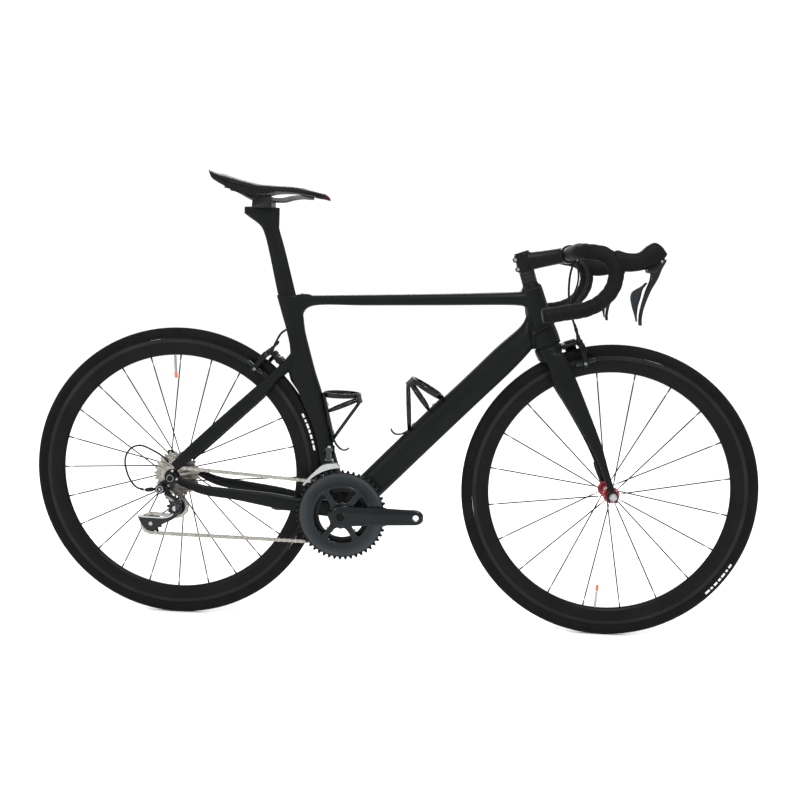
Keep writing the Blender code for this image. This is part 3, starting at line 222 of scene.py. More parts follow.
CARBON = look("matte_carbon", (0.00275, 0.00341, 0.0033), (0.004125, 0.00495, 0.00484), 0.42, 0.05,
              scale=1400.0, bump=0.1, pattern="WAVE", stretch=(1.0, 0.6, 1.4), depth=0.04, specular=0.096)
RIM_CARBON = look("rim_carbon", (0.00252, 0.00276, 0.00276), (0.0042, 0.00444, 0.00444), 0.4, 0.06,
                  scale=700.0, pattern="WAVE", bump=0.1, depth=0.04, specular=0.084)
BRAKE_TRACK = look("brake_track", (0.006, 0.0063, 0.0063), (0.0105, 0.01088, 0.01088), 0.5, 0.08,
                   scale=1500.0, bump=0.3, depth=0.05, specular=0.12)
TYRE = look("tyre_rubber", (0.0027, 0.00276, 0.00276), (0.0045, 0.00462, 0.00462), 0.7, 0.1, patches=30.0,
            pattern="VORONOI", scale=700.0, bump=0.35, depth=0.12, specular=0.072)
TREAD = look("tread_rubber", (0.0033, 0.00336, 0.00336), (0.0057, 0.00576, 0.00576), 0.8, 0.08, patches=40.0,
             pattern="VORONOI", scale=420.0, bump=0.6, depth=0.25, specular=0.06)
MARKING = look("tyre_marking", (0.5, 0.5, 0.49), (0.66, 0.66, 0.65), 0.7, 0.1, scale=600.0)
SATIN_BLACK = look("satin_black", (0.00225, 0.0024, 0.0025), (0.004, 0.0042, 0.0044), 0.4, 0.08, scale=1200.0,
                   bump=0.12, depth=0.05, wear=(0.02, 0.021, 0.022), specular=0.108)
GLOSS_BLACK = look("gloss_black", (0.00165, 0.00176, 0.001815), (0.00286, 0.003025, 0.00308), 0.2, 0.06,
                   coat=0.25, scale=400.0, bump=0.06, depth=0.05, wear=(0.012, 0.0125, 0.013), specular=0.12)
HOOD_RUBBER = look("hood_rubber", (0.0024, 0.0026, 0.0026), (0.004, 0.00425, 0.00425), 0.62, 0.07,
                   patches=25.0, pattern="VORONOI", scale=650.0, bump=0.35, depth=0.2, specular=0.084)
TAPE = look("bar_tape", (0.00225, 0.0024, 0.0025), (0.004, 0.0042, 0.0043), 0.66, 0.08, patches=30.0,
            pattern="VORONOI", scale=380.0, bump=0.6, depth=0.5, specular=0.084)
SILVER = look("polished_silver", (0.31, 0.3162, 0.3224), (0.3844, 0.3906, 0.3968), 0.27, 0.1, metallic=1.0,
              scale=900.0, stretch=(1.0, 8.0, 1.0), bump=0.15, depth=0.05)
NICKEL = look("nickel_plate", (0.216, 0.204, 0.18), (0.324, 0.312, 0.282), 0.36, 0.12, metallic=0.95,
              patches=60.0, scale=1000.0, bump=0.25, depth=0.05)
SPOKE_BLACK = look("spoke_black", (0.0042, 0.00448, 0.00462), (0.0077, 0.00805, 0.0084), 0.36, 0.08,
                   metallic=0.3, scale=1500.0, bump=0.1, depth=0.03, specular=0.12)
GREY_METAL = look("grey_anodised", (0.0035, 0.005, 0.006), (0.0075, 0.0098, 0.0112), 0.24, 0.07, metallic=0.8,
                  coat=0.12, patches=9.0, scale=1300.0, bump=0.1, depth=0.03, wear=(0.09, 0.11, 0.12))
DARK_GREY = look("dark_anodised", (0.0054, 0.0063, 0.0072), (0.0096, 0.0108, 0.0123), 0.36, 0.08,
                 metallic=0.5, scale=1300.0, bump=0.12, depth=0.04, wear=(0.05, 0.054, 0.058), specular=0.15)
BLUE_GREY = look("paddle_grey", (0.0095, 0.0118, 0.0138), (0.015, 0.0182, 0.0212), 0.3, 0.07, metallic=0.4,
                 coat=0.2, scale=1200.0, bump=0.1, depth=0.04, wear=(0.09, 0.11, 0.14), specular=0.18)
RED = look("red_anodised", (0.2, 0.006, 0.01), (0.3, 0.011, 0.016), 0.26, 0.06, metallic=0.85, coat=0.2,
           scale=1400.0, bump=0.08, depth=0.03, wear=(0.4, 0.06, 0.06))
RED_CAP = look("valve_cap_red", (0.55, 0.08, 0.03), (0.66, 0.12, 0.045), 0.4, 0.06, scale=900.0, bump=0.2)
PLASTIC = look("moulded_plastic", (0.0025, 0.0026, 0.0026), (0.0045, 0.00465, 0.00465), 0.5, 0.08,
               scale=900.0, bump=0.2, depth=0.06, specular=0.108)
SADDLE = look("saddle_cover", (0.00176, 0.001815, 0.00187), (0.0033, 0.00341, 0.003465), 0.5, 0.08,
              patches=35.0, pattern="VORONOI", scale=1100.0, bump=0.3, depth=0.12, specular=0.096)
NOSE_RED = look("saddle_nose_red", (0.0315, 0.0021, 0.0042), (0.049, 0.00315, 0.0063), 0.4, 0.05, scale=900.0,
                specular=0.12)
RAIL = look("carbon_rail", (0.04, 0.042, 0.044), (0.08, 0.082, 0.086), 0.3, 0.1, metallic=0.6, pattern="WAVE",
            scale=500.0, bump=0.1, depth=0.05)
HOUSING = look("cable_housing", (0.0024, 0.00252, 0.00264), (0.0045, 0.00468, 0.0048), 0.34, 0.06,
               scale=1500.0, bump=0.12, depth=0.04, specular=0.12)
PAD = look("brake_pad_rubber", (0.0072, 0.008, 0.0088), (0.0128, 0.014, 0.0152), 0.75, 0.08, scale=600.0,
           bump=0.4, specular=0.09)


# ---------------------------------------------------------------- shapes: lists of points and of faces


def pitch_radius(teeth):
    return CHAIN_PITCH / (2 * math.sin(math.pi / teeth))


def tip_radius(teeth):
    return CHAIN_PITCH / 2 * (0.6 + 1 / math.tan(math.pi / teeth))


def on_circle(centre, radius, degrees):
    """A point in the bicycle's middle plane, at an angle measured from +X towards +Z."""
    angle = math.radians(degrees)
    return centre + Vector((radius * math.cos(angle), 0.0, radius * math.sin(angle)))


def rings_solid(rings, looped=False):
    """A skin over rings of points with equal counts, capped at both ends unless it is looped."""
    count = len(rings[0])
    points = [point for ring in rings for point in ring]
    faces = []
    for index in range(len(rings) if looped else len(rings) - 1):
        here = index * count
        there = (index + 1) % len(rings) * count
        for corner in range(count):
            after = (corner + 1) % count
            faces.append((here + corner, here + after, there + after, there + corner))
    if not looped:
        faces.append(tuple(range(count)))
        faces.append(tuple(range((len(rings) - 1) * count, len(rings) * count)))
    return points, faces


def signed_power(value, power):
    return math.copysign(abs(value) ** power, value)


def oval(centre, side, front, half_side, half_front, count, power=2.0):
    """A superellipse of points: power 2 is an ellipse, and a higher power is boxier."""
    ring = []
    for index in range(count):
        angle = 2 * math.pi * (index + 0.5) / count
        across = signed_power(math.cos(angle), 2 / power)
        along = signed_power(math.sin(angle), 2 / power)
        ring.append(centre + side * half_side * across + front * half_front * along)
    return ring


def edge_loft(stations, count=12, power=2.4):
    """A tube drawn by its two edges in side view: each station is (edge, other edge, y, half width)."""
    rings = []
    for (x_one, z_one), (x_two, z_two), y, half_width in stations:
        one = Vector((x_one, y, z_one))
        two = Vector((x_two, y, z_two))
        half = (two - one) / 2
        rings.append(oval((one + two) / 2, Y_AXIS, half.normalized(), half_width, half.length, count, power))
    return rings_solid(rings)


def frames_along(path, up):
    """For each point of a path: the point, and two directions square to the path there."""
    result = []
    for index, point in enumerate(path):
        before = path[max(index - 1, 0)]
        after = path[min(index + 1, len(path) - 1)]
        along = (after - before).normalized()
        side = (up - along * up.dot(along)).normalized()
        up = side
        result.append((point, side, along.cross(side)))
    return result


def tube(path, radii, count=8, up=Z_AXIS):
    rings = []
    for (point, side, front), radius in zip(frames_along(path, up), radii):
        rings.append(oval(point, side, front, radius, radius, count))
    return rings_solid(rings)


def rod(start, end, radius, count=10):
    up = X_AXIS if abs((end - start).normalized().x) < 0.8 else Z_AXIS
    return tube([start, end], [radius, radius], count, up)


def cross_rod(middle, start_y, end_y, radius, count):
    """A round rod across the bicycle, between two distances from its middle plane."""
    return rod(middle + Y_AXIS * start_y, middle + Y_AXIS * end_y, radius, count)


def turned(profile, centre, steps, axis=Y_AXIS, up=Z_AXIS):
    """A closed outline of (place along the axis, radius) turned round an axis: a ring with a hole."""
    right = up.cross(axis)
    rings = []
    for index in range(steps):
        angle = 2 * math.pi * index / steps
        out = right * math.sin(angle) - up * math.cos(angle)
        rings.append([centre + axis * along + out * radius for along, radius in profile])
    return rings_solid(rings, looped=True)


def plate(outline, y_low, y_high):
    """A flat plate: an outline of (x, z) points, extruded along Y."""
    rings = [[Vector((x, y, z)) for x, z in outline] for y in (y_low, y_high)]
    return rings_solid(rings)


def hull(points):
    """The convex solid round a set of points."""
    shell = bmesh.new()
    for point in points:
        shell.verts.new(point)
    result = bmesh.ops.convex_hull(shell, input=shell.verts)
    unused = [item for item in result["geom_interior"] if isinstance(item, bmesh.types.BMVert)]
    bmesh.ops.delete(shell, geom=unused, context="VERTS")
    bmesh.ops.dissolve_limit(shell, angle_limit=0.001, verts=shell.verts, edges=shell.edges)
    shell.verts.ensure_lookup_table()
    shape = ([vert.co.copy() for vert in shell.verts],
             [tuple(vert.index for vert in face.verts) for face in shell.faces])
    shell.free()
    return shape


def box(low, high):
    return hull([Vector((x, y, z)) for x in (low[0], high[0]) for y in (low[1], high[1]) for z in (low[2],
                                                                                                   high[2])])


def mirrored(shape):
    points, faces = shape
    return [Vector((point.x, -point.y, point.z)) for point in points], faces


def placed(shape, matrix):
    points, faces = shape
    return [matrix @ point for point in points], faces


def boolean(shape, others, operation):
    """Joins the other shapes to a shape, or cuts them out of it."""
    if not others:
        return shape
    made = [bpy.data.objects.new("part", to_mesh(item)) for item in (shape, *others)]
    for item in made:
        bpy.context.scene.collection.objects.link(item)
    for other in made[1:]:
        modifier = made[0].modifiers.new("join", "BOOLEAN")
        modifier.operation = operation
        modifier.object = other
    bpy.context.view_layer.update()
    graph = bpy.context.evaluated_depsgraph_get()
    mesh = bpy.data.meshes.new_from_object(made[0].evaluated_get(graph))
    points = [vert.co.copy() for vert in mesh.vertices]
    faces = [tuple(face.vertices) for face in mesh.polygons]
    for item in made:
        bpy.data.objects.remove(item)
    return points, faces


def cut(shape, *cutters):
    return boolean(shape, cutters, "DIFFERENCE")


def smooth_path(points, spacing):
    """Points a spacing apart on a smooth curve through the given points."""
    ends = [points[0] * 2 - points[1], *points, points[-1] * 2 - points[-2]]
    dense = []
    for index in range(1, len(ends) - 2):
        before, here, there, after = ends[index - 1:index + 3]
        for step in range(16):
            part = step / 16
            dense.append(0.5 * (2 * here + (there - before) * part
                                + (2 * before - 5 * here + 4 * there - after) * part ** 2
                                + (3 * here - before - 3 * there + after) * part ** 3))
    dense.append(points[-1])
    total = sum((dense[index + 1] - dense[index]).length for index in range(len(dense) - 1))
    count = max(2, round(total / spacing))
    result = [dense[0]]
    travelled = 0.0
    for index in range(len(dense) - 1):
        length = (dense[index + 1] - dense[index]).length
        while len(result) < count and travelled + length >= len(result) * total / count - 1e-6:
            part = (len(result) * total / count - travelled) / length
            result.append(dense[index].lerp(dense[index + 1], part))
        travelled += length
    return result + [dense[-1]]


def head_point(height):
    return HEAD_LOW + HEAD_UP * height


def head_ring(profile, steps):
    """A ring turned round the steering axis."""
    return turned(profile, HEAD_LOW, steps, HEAD_UP, HEAD_FORWARD)


def brake_axes(brake):
    if brake is FRONT_BRAKE:
        return HEAD_UP, HEAD_FORWARD
    angle = math.radians(brake[1])
    return Vector((math.cos(angle), 0, math.sin(angle))), Vector((-math.sin(angle), 0, math.cos(angle)))


def brake_point(brake, side, out, along):
    outward, forward = brake_axes(brake)
    return brake[0] + Y_AXIS * side + outward * out + forward * along


def brake_plate(brake, outline, low, high):
    """A flat piece of a brake: an outline of (side, out) points, between two places along the bolt."""
    return rings_solid([[brake_point(brake, side, out, along) for side, out in outline] for along in (low,
                                                                                                      high)])


def capsule(start, end, axis, radius, low, high, count=10):
    """A bar with round ends, square to an axis and between two places along it."""
    points = []
    for middle in (start, end):
        for index in range(count):
            angle = 2 * math.pi * index / count
            side = axis.orthogonal().normalized()
            out = side * math.cos(angle) + axis.cross(side) * math.sin(angle)
            points += [middle + out * radius + axis * low, middle + out * radius + axis * high]
    return hull(points)


def merged(*shapes):
    """Several shapes as one, each still a separate shell."""
    points, faces = [], []
    for more_points, more_faces in shapes:
        start = len(points)
        points += more_points
        faces += [tuple(start + index for index in face) for face in more_faces]
    return points, faces


def spline_rows(rows, steps):
    """More rows of numbers between the given ones, on a smooth curve through them."""
    ends = [rows[0], *rows, rows[-1]]
    result = []
    for index in range(1, len(ends) - 2):
        four = ends[index - 1:index + 3]
        for step in range(steps):
            part = step / steps
            result.append(tuple(0.5 * (2 * b + (c - a) * part + (2 * a - 5 * b + 4 * c - d) * part ** 2
                                       + (3 * b - a - 3 * c + d) * part ** 3) for a, b, c, d in zip(*four)))
    return result + [tuple(rows[-1])]


def refined(stations, steps=6):
    """More stations for edge_loft, on a smooth curve through the given ones."""
    rows = [(*one, *two, y, half_width) for one, two, y, half_width in stations]
    return [((row[0], row[1]), (row[2], row[3]), row[4], row[5]) for row in spline_rows(rows, steps)]


def smooth_loop(outline, steps=5):
    """A closed outline with a smooth curve through its points."""
    count = len(outline)
    result = []
    for index in range(count):
        four = [outline[(index + step) % count] for step in (-1, 0, 1, 2)]
        result += spline_rows(four, steps)[steps:2 * steps]
    return result


def arc(centre, radius, first, last, count):
    """Points on an arc, as pairs: the angles are degrees."""
    angles = [math.radians(first + (last - first) * index / count) for index in range(count + 1)]
    return [(centre[0] + radius * math.cos(angle), centre[1] + radius * math.sin(angle)) for angle in angles]


def disc(profile, centre, axis=Y_AXIS, steps=48):
    """A round turned part: rings of (place along the axis, radius), capped at its two ends."""
    up = axis.orthogonal().normalized()
    side = up.cross(axis)
    return rings_solid([oval(centre + axis * along, side, up, radius, radius, steps) for along,
                        radius in profile])


def both(shape):
    """A shape on the left side and its mirror image on the right."""
    return merged(shape, mirrored(shape))


def hex_bolt(centre, axis, radius, height, socket=0.5):
    """A round bolt head with a hexagonal socket, standing on a point and pointing along its axis."""
    head = disc([(0, radius), (height * 0.8, radius), (height, radius * 0.86)], centre, axis, 32)
    inside = disc([(height * 0.35, radius * socket), (height + 1, radius * socket)], centre, axis, 6)
    return cut(head, inside)


def to_mesh(shape):
    points, faces = shape
    mesh = bpy.data.meshes.new("shape")
    mesh.from_pydata(points, [], faces)
    work = bmesh.new()
    work.from_mesh(mesh)
    bmesh.ops.recalc_face_normals(work, faces=work.faces)
    work.to_mesh(mesh)
    work.free()
    return mesh


def evaluated(mesh, *modifiers):
    """A mesh after some modifiers, each given as its type and its settings."""
    item = bpy.data.objects.new("work", mesh)
    bpy.context.scene.collection.objects.link(item)
    for kind, settings in modifiers:
        modifier = item.modifiers.new(kind, kind)
        for key, value in settings.items():
            setattr(modifier, key, value)
    bpy.context.view_layer.update()
    graph = bpy.context.evaluated_depsgraph_get()
    result = bpy.data.meshes.new_from_object(item.evaluated_get(graph))
    bpy.data.objects.remove(item)
    return result


def shape_of(mesh):
    return [vert.co.copy() for vert in mesh.vertices], [tuple(face.vertices) for face in mesh.polygons]


def melted(shapes, voxel, passes=6):
    """Shapes run together into one skin with soft joins, as a moulding."""
    return evaluated(to_mesh(merged(*shapes)), ("REMESH", {"mode": "VOXEL", "voxel_size": voxel}),
                     ("SMOOTH", {"factor": 0.5, "iterations": passes}))


def piece(name, shape, finish, body, stands_for=(), bevel=0.0, sharp=40.0, segments=2):
    """Puts a shape or a mesh in the scene, riding on a body, in place of the CAD nodes that it stands for."""
    mesh = shape if isinstance(shape, bpy.types.Mesh) else to_mesh(shape)
    mesh.transform(Matrix.Scale(MM, 4) @ Matrix.Translation(UNDER_REAR_AXLE))
    mesh.name = name
    mesh.shade_smooth()
    mesh.set_sharp_from_angle(angle=math.radians(sharp))
    mesh.materials.clear()
    mesh.materials.append(finish)
    item = bpy.data.objects.new(name, mesh)
    bpy.context.scene.collection.objects.link(item)
    if bevel:
        edges = item.modifiers.new("edges", "BEVEL")
        edges.width = bevel * MM
        edges.segments = segments
        edges.limit_method = "ANGLE"
        edges.angle_limit = math.radians(35)
        edges.harden_normals = True
    if body:
        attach(item, body)
    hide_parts(*stands_for)
    return item


def repaint(node, finish):
    """Gives a carried-over CAD node a finished material."""
    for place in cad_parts[node].material_slots:
        place.material = finish


# ---------------------------------------------------------------- wheels


def make_wheel(end, axle, valve_angle, label_angles):
    body = end + "_wheel"
    section = (0.0, TYRE_RADIUS - TYRE_HALF_WIDTH)
    outer = arc(section, TYRE_HALF_WIDTH, -38, 218, 26)
    inner = arc(section, 10.6, 214, -34, 16)
    bead = RIM_RADIUS + GAP
    tyre = turned([(9.4, bead), *outer, (-9.4, bead), (-7.4, bead), *inner, (7.4, bead)], axle, ROUND_STEPS)
    piece(end + "_tyre_casing", tyre, TYRE, body, [end + "_tyre"], sharp=60)
    tread = arc(section, 12.55, 52, 128, 10) + arc(section, 11.9, 128, 52, 10)
    piece(end + "_tread_band", turned(tread, axle, ROUND_STEPS), TREAD, body, (), sharp=60)
    marks = []
    for angle in label_angles:
        for side in (-1, 1):
            for index, length in enumerate(MARK_LENGTHS):
                middle = angle + (index - 3) * MARK_SPACING
                low, high = [arc((axle.x, axle.z), radius, middle - length / 2, middle + length / 2, 4)
                             for radius in MARK_RADII]
                under, over = side * 12.2, side * 12.52
                marks.append(rings_solid([[Vector((a, under, b)), Vector((a, over, b)), Vector((c, over, d)),
                                           Vector((c, under, d))] for (a, b), (c, d) in zip(low, high)]))
    piece(end + "_tyre_marks", merged(*marks), MARKING, body)
    half = RIM_HALF_WIDTH
    side = [(half, 302.4), (half + 0.35, 300.5), (half + 0.3, 295.0), (9.2, 286.0), (7.0, 278.5),
            (3.8, 274.2)]
    profile = side + [(0.0, RIM_BED_RADIUS)] + [(-y, radius) for y, radius in reversed(side)]
    piece(end + "_rim_body", turned(profile + [(-6.0, 305.0), (6.0, 305.0)], axle, ROUND_STEPS), RIM_CARBON,
          body, [end + "_rim"], sharp=50)
    track = [(half, 302.2), (half, 309.6), (9.2, RIM_RADIUS), (-9.2, RIM_RADIUS), (-half, 309.6),
             (-half, 302.2)]
    piece(end + "_brake_track", turned(track, axle, ROUND_STEPS), BRAKE_TRACK, body, (),
          sharp=50)
    stem = disc([(0, 3.0), (52, 3.0), (52.4, 2.4), (56, 2.4)],
                on_circle(axle, RIM_BED_RADIUS + 4, valve_angle),
                (axle - on_circle(axle, 100, valve_angle)).normalized(), 20)
    piece(end + "_valve_stem", stem, SILVER, body, [end + "_inner_tube"], bevel=0.2)
    cap_foot = on_circle(axle, RIM_BED_RADIUS - 40.0, valve_angle)
    inward = (axle - cap_foot).normalized()
    cap = disc([(0, 3.6), (0.6, 3.8), (11, 3.4), (12.4, 2.6), (13, 1.2)], cap_foot, inward, 24)
    piece(end + "_valve_cap", cap, RED_CAP, body)


def blade_spoke(axle, rim_angle, hub_angle, hub_radius, hub_y, rim_y):
    """A bladed spoke: round at both ends and flat between, with its nipple at the rim."""
    foot = on_circle(axle, hub_radius, hub_angle) + Y_AXIS * hub_y
    head = on_circle(axle, RIM_BED_RADIUS + 2, rim_angle) + Y_AXIS * rim_y
    along = (head - foot).normalized()
    thin = (Y_AXIS - along * along.y).normalized()
    wide = along.cross(thin)
    length = (head - foot).length
    rings = []
    for place, flat, broad in ((0, 0.95, 0.95), (12, 0.95, 0.95), (22, 0.45, 1.5), (length - 26, 0.45, 1.5),
                               (length - 18, 0.95, 0.95), (length, 0.95, 0.95)):
        rings.append(oval(foot + along * place, thin, wide, flat, broad, 10))
    blade = rings_solid(rings)
    nipple = disc([(0, 1.5), (9, 1.9), (12, 2.0)], head - along * 13, along, 10)
    return blade, nipple


def make_hub(end, axle, profile, spokes, finish):
    """A hub shell and its spokes, each given as its angles, hub radius, and places across the hub and
    the rim."""
    body = end + "_wheel"
    laced = [blade_spoke(axle, *numbers) for numbers in spokes]
    piece(end + "_hub_shell", turned(profile, axle, 72), finish, body, [end + "_hub_with_spokes"],
          bevel=0.5)
    piece(end + "_spokes", merged(*[blade for blade, _ in laced]), SPOKE_BLACK, body, ())
    piece(end + "_nipples", merged(*[nipple for _, nipple in laced]), SATIN_BLACK, body)
    heads = [cross_rod(on_circle(axle, radius, hub_angle), y - 2.6, y + 2.6, 1.5, 10)
             for _, hub_angle, radius, y, _ in spokes]
    piece(end + "_spoke_heads", merged(*heads), SILVER, body)


def make_hubs():
    bore = AXLE_RADIUS + 0.9
    front = [(-44, bore), (-44, 9), (-38.5, 10), (-38, 17.6), (-37, 18.6), (-35, 18.6), (-34, 17.6),
             (-32, 12.5),
             (-26, 10.8), (26, 10.8), (32, 12.5), (34, 17.6), (35, 18.6), (37, 18.6), (38, 17.6), (38.5, 10),
             (44, 9), (44, bore)]
    spokes = []
    for index in range(FRONT_SPOKES):
        side = 1 if index % 2 else -1
        angle = 360 * (index + 0.5) / FRONT_SPOKES
        spokes.append((angle, angle, 15.0, side * 36.0, side * 1.2))
    make_hub("front", FRONT_AXLE, front, spokes, RED)
    band = turned([(-20, 11.3), (-19, 11.8), (19, 11.8), (20, 11.3), (20, 10.2), (-20, 10.2)], FRONT_AXLE, 64)
    piece("front_hub_centre", band, SILVER, "front_wheel", bevel=0.3)
    rear = [(-21.5, bore), (-21.5, 14), (-20.8, 22.6), (-20, 23.6), (-18, 23.6), (-17.2, 22.6), (-14, 14),
            (-8, 12),
            (24, 12), (31, 14), (32.6, 19.6), (33.4, 20.4), (35.6, 20.4), (36.4, 19.6), (37.5, 12), (44, 10),
            (44, bore)]
    spokes = []
    for index in range(REAR_SPOKES):
        angle = 360 * index / REAR_SPOKES
        if index % 2:
            spokes.append((angle, angle, 17.0, 34.5, 1.2))
        else:
            lean = 62 if index % 4 else -62
            spokes.append((angle, angle + lean, 20.6, -19.0 + (1.0 if index % 4 else -1.0), -1.2))
    make_hub("rear", REAR_AXLE, rear, spokes, SATIN_BLACK)


def make_skewers():
    """The quick release at each axle: a curved lever on the left, and a round nut on the right."""
    for end, axle, spacing, degrees, nut_finish, body in (
            ("front", FRONT_AXLE, FRONT_SPACING, -110, SILVER, "steering"),
            ("rear", REAR_AXLE, REAR_SPACING, -150, SATIN_BLACK, "frame")):
        start_y = spacing + DROPOUT_THICKNESS + 7 + 2 * GAP
        turn = Matrix.Rotation(math.radians(degrees), 4, "Y")
        centre = axle + Y_AXIS * (start_y + 5.5)
        rows = spline_rows([(-5, 0.0, 2.0, 4.0), (-3, 0.0, 4.6, 6.0), (4, 0.2, 5.0, 6.2), (12, 1.4, 3.8, 5.6),
                            (30, 4.0, 2.4, 6.8), (50, 3.0, 2.0, 7.8), (60, 0.6, 1.8, 6.6),
                            (64, -0.4, 1.0, 3.0)], 5)
        rings = [oval(Vector((x, y, 0)), Y_AXIS, Z_AXIS, thick, wide, 24) for x, y, thick, wide in rows]
        blade = placed(rings_solid(rings), Matrix.Translation(centre) @ turn)
        piece(end + "_skewer_blade", blade, SATIN_BLACK, end + "_skewer_lever", [end + "_skewer_lever"],
              sharp=60)
        nut_y = -(spacing + DROPOUT_THICKNESS + GAP)
        nut = disc([(0, 8.2), (1.2, 8.6), (7, 8.6), (10, 6.4), (11.2, 5.2)], axle + Y_AXIS * nut_y,
                   Y_AXIS * -1, 40)
        piece(end + "_skewer_nut", nut, nut_finish, body, bevel=0.3)
        repaint(end + "_axle", SILVER)


def dropout(axle, y_inner, y_outer, drop):
    """A dropout plate round the axle, with its slot cut open downwards."""
    outline = arc((axle.x, axle.z), 13.0, -20, 200, 24)
    outline += [(axle.x - 11, axle.z - drop), (axle.x + 11, axle.z - drop)]
    blank = plate(outline, y_inner, y_outer)
    half = AXLE_RADIUS + 0.5
    slot = box((axle.x - half, y_inner - 1, axle.z - drop - 5), (axle.x + half, y_outer + 1, axle.z))
    return cut(blank, slot, cross_rod(axle, y_inner - 1, y_outer + 1, half, 32))


# A brake is (place on its bolt, the angle of its outward direction): the front one lies along the head tube.
REAR_BRAKE = (on_circle(REAR_AXLE, 352.0, 50.5), 50.5)
FRONT_BRAKE = (HEAD_LOW + HEAD_UP * -13 + HEAD_FORWARD * 45.0, None)


def chain_route():
    """The chain's pitch line round ring, cog and both pulleys, and for each point whether it is on the
    cage."""
    wheels = [(CRANK_CENTRE, pitch_radius(SMALL_RING_TEETH), 1, SMALL_RING_Y),
              (REAR_AXLE, pitch_radius(CASSETTE_TEETH[0]), 1, SMALL_COG_Y),
              (GUIDE_PULLEY, pitch_radius(PULLEY_TEETH), -1, SMALL_COG_Y),
              (TENSION_PULLEY, pitch_radius(PULLEY_TEETH), 1, SMALL_COG_Y)]
    touches = []
    for index, (centre, radius, turn, _) in enumerate(wheels):
        other, other_radius, other_turn, _ = wheels[(index + 1) % len(wheels)]
        gap = other - centre
        heading = math.atan2(gap.z, gap.x)
        lean = math.asin((other_radius * other_turn - radius * turn) / math.hypot(gap.x, gap.z))
        touches.append((heading - lean - turn * math.pi / 2, heading - lean - other_turn * math.pi / 2))
    points, on_cage = [], []
    for index, (centre, radius, turn, y) in enumerate(wheels):
        start = touches[index - 1][1]
        end = touches[index][0]
        sweep = (end - start) % (2 * math.pi) if turn > 0 else -((start - end) % (2 * math.pi))
        for item in range(41):
            angle = start + sweep * item / 40
            points.append(Vector((centre.x + radius * math.cos(angle), y,
                                  centre.z + radius * math.sin(angle))))
            on_cage.append(index >= 2)
        after_wheel = wheels[(index + 1) % len(wheels)]
        arrive = touches[index][1]
        arrival = Vector((after_wheel[0].x + after_wheel[1] * math.cos(arrive), after_wheel[3],
                          after_wheel[0].z + after_wheel[1] * math.sin(arrive)))
        run = arrival - points[-1]
        if run.length > LONG_RUN:
            leave = points[-1]
            for part, y_there in ((STRAIGHT_RUN / run.length, leave.y),
                                  (1 - STRAIGHT_RUN / run.length, arrival.y)):
                middle = leave.lerp(arrival, part)
                points.append(Vector((middle.x, y_there, middle.z)))
                on_cage.append(False)
    return points, on_cage


# ---------------------------------------------------------------- frame, seatpost and fork


def wheel_space(axle, half_width):
    """The room that a turning wheel needs, cut out of the frame and the fork."""
    return rings_solid([oval(axle + Y_AXIS * y, -X_AXIS, Z_AXIS, TYRE_CLEARANCE, TYRE_CLEARANCE, 120)
                        for y in (-half_width, half_width)])


POST_IN_FRAME = [((240, 690), (278, 700), 9.5), ((222, 752), (261, 762), 9.8)]
POST_ABOVE = [
    ((200, 846), (235.5, 856), 10.5), ((188.5, 888), (222, 900), 11.8), ((177, 909), (221, 914), 13.5),
    ((150, 928), (221, 929), 16.0), ((141, 935), (221, 936), 17.0), ((141, 949), (221, 949), 17.0)]


def ridged_loft(stations, count):
    """A tube drawn by its edges in side view, with flat edges above and below and a soft ridge along
    each side."""
    rings = []
    for (x_one, z_one), (x_two, z_two), y, half_width in stations:
        one = Vector((x_one, y, z_one))
        half = (Vector((x_two, y, z_two)) - one) / 2
        ring = []
        for index in range(count):
            angle = 2 * math.pi * (index + 0.5) / count
            across = signed_power(math.cos(angle), 2 / RIDGE_FLATNESS)
            along = signed_power(math.sin(angle), 2 / EDGE_FLATNESS)
            ring.append(one + half + Y_AXIS * half_width * across + half * along)
        rings.append(ring)
    return rings_solid(rings)


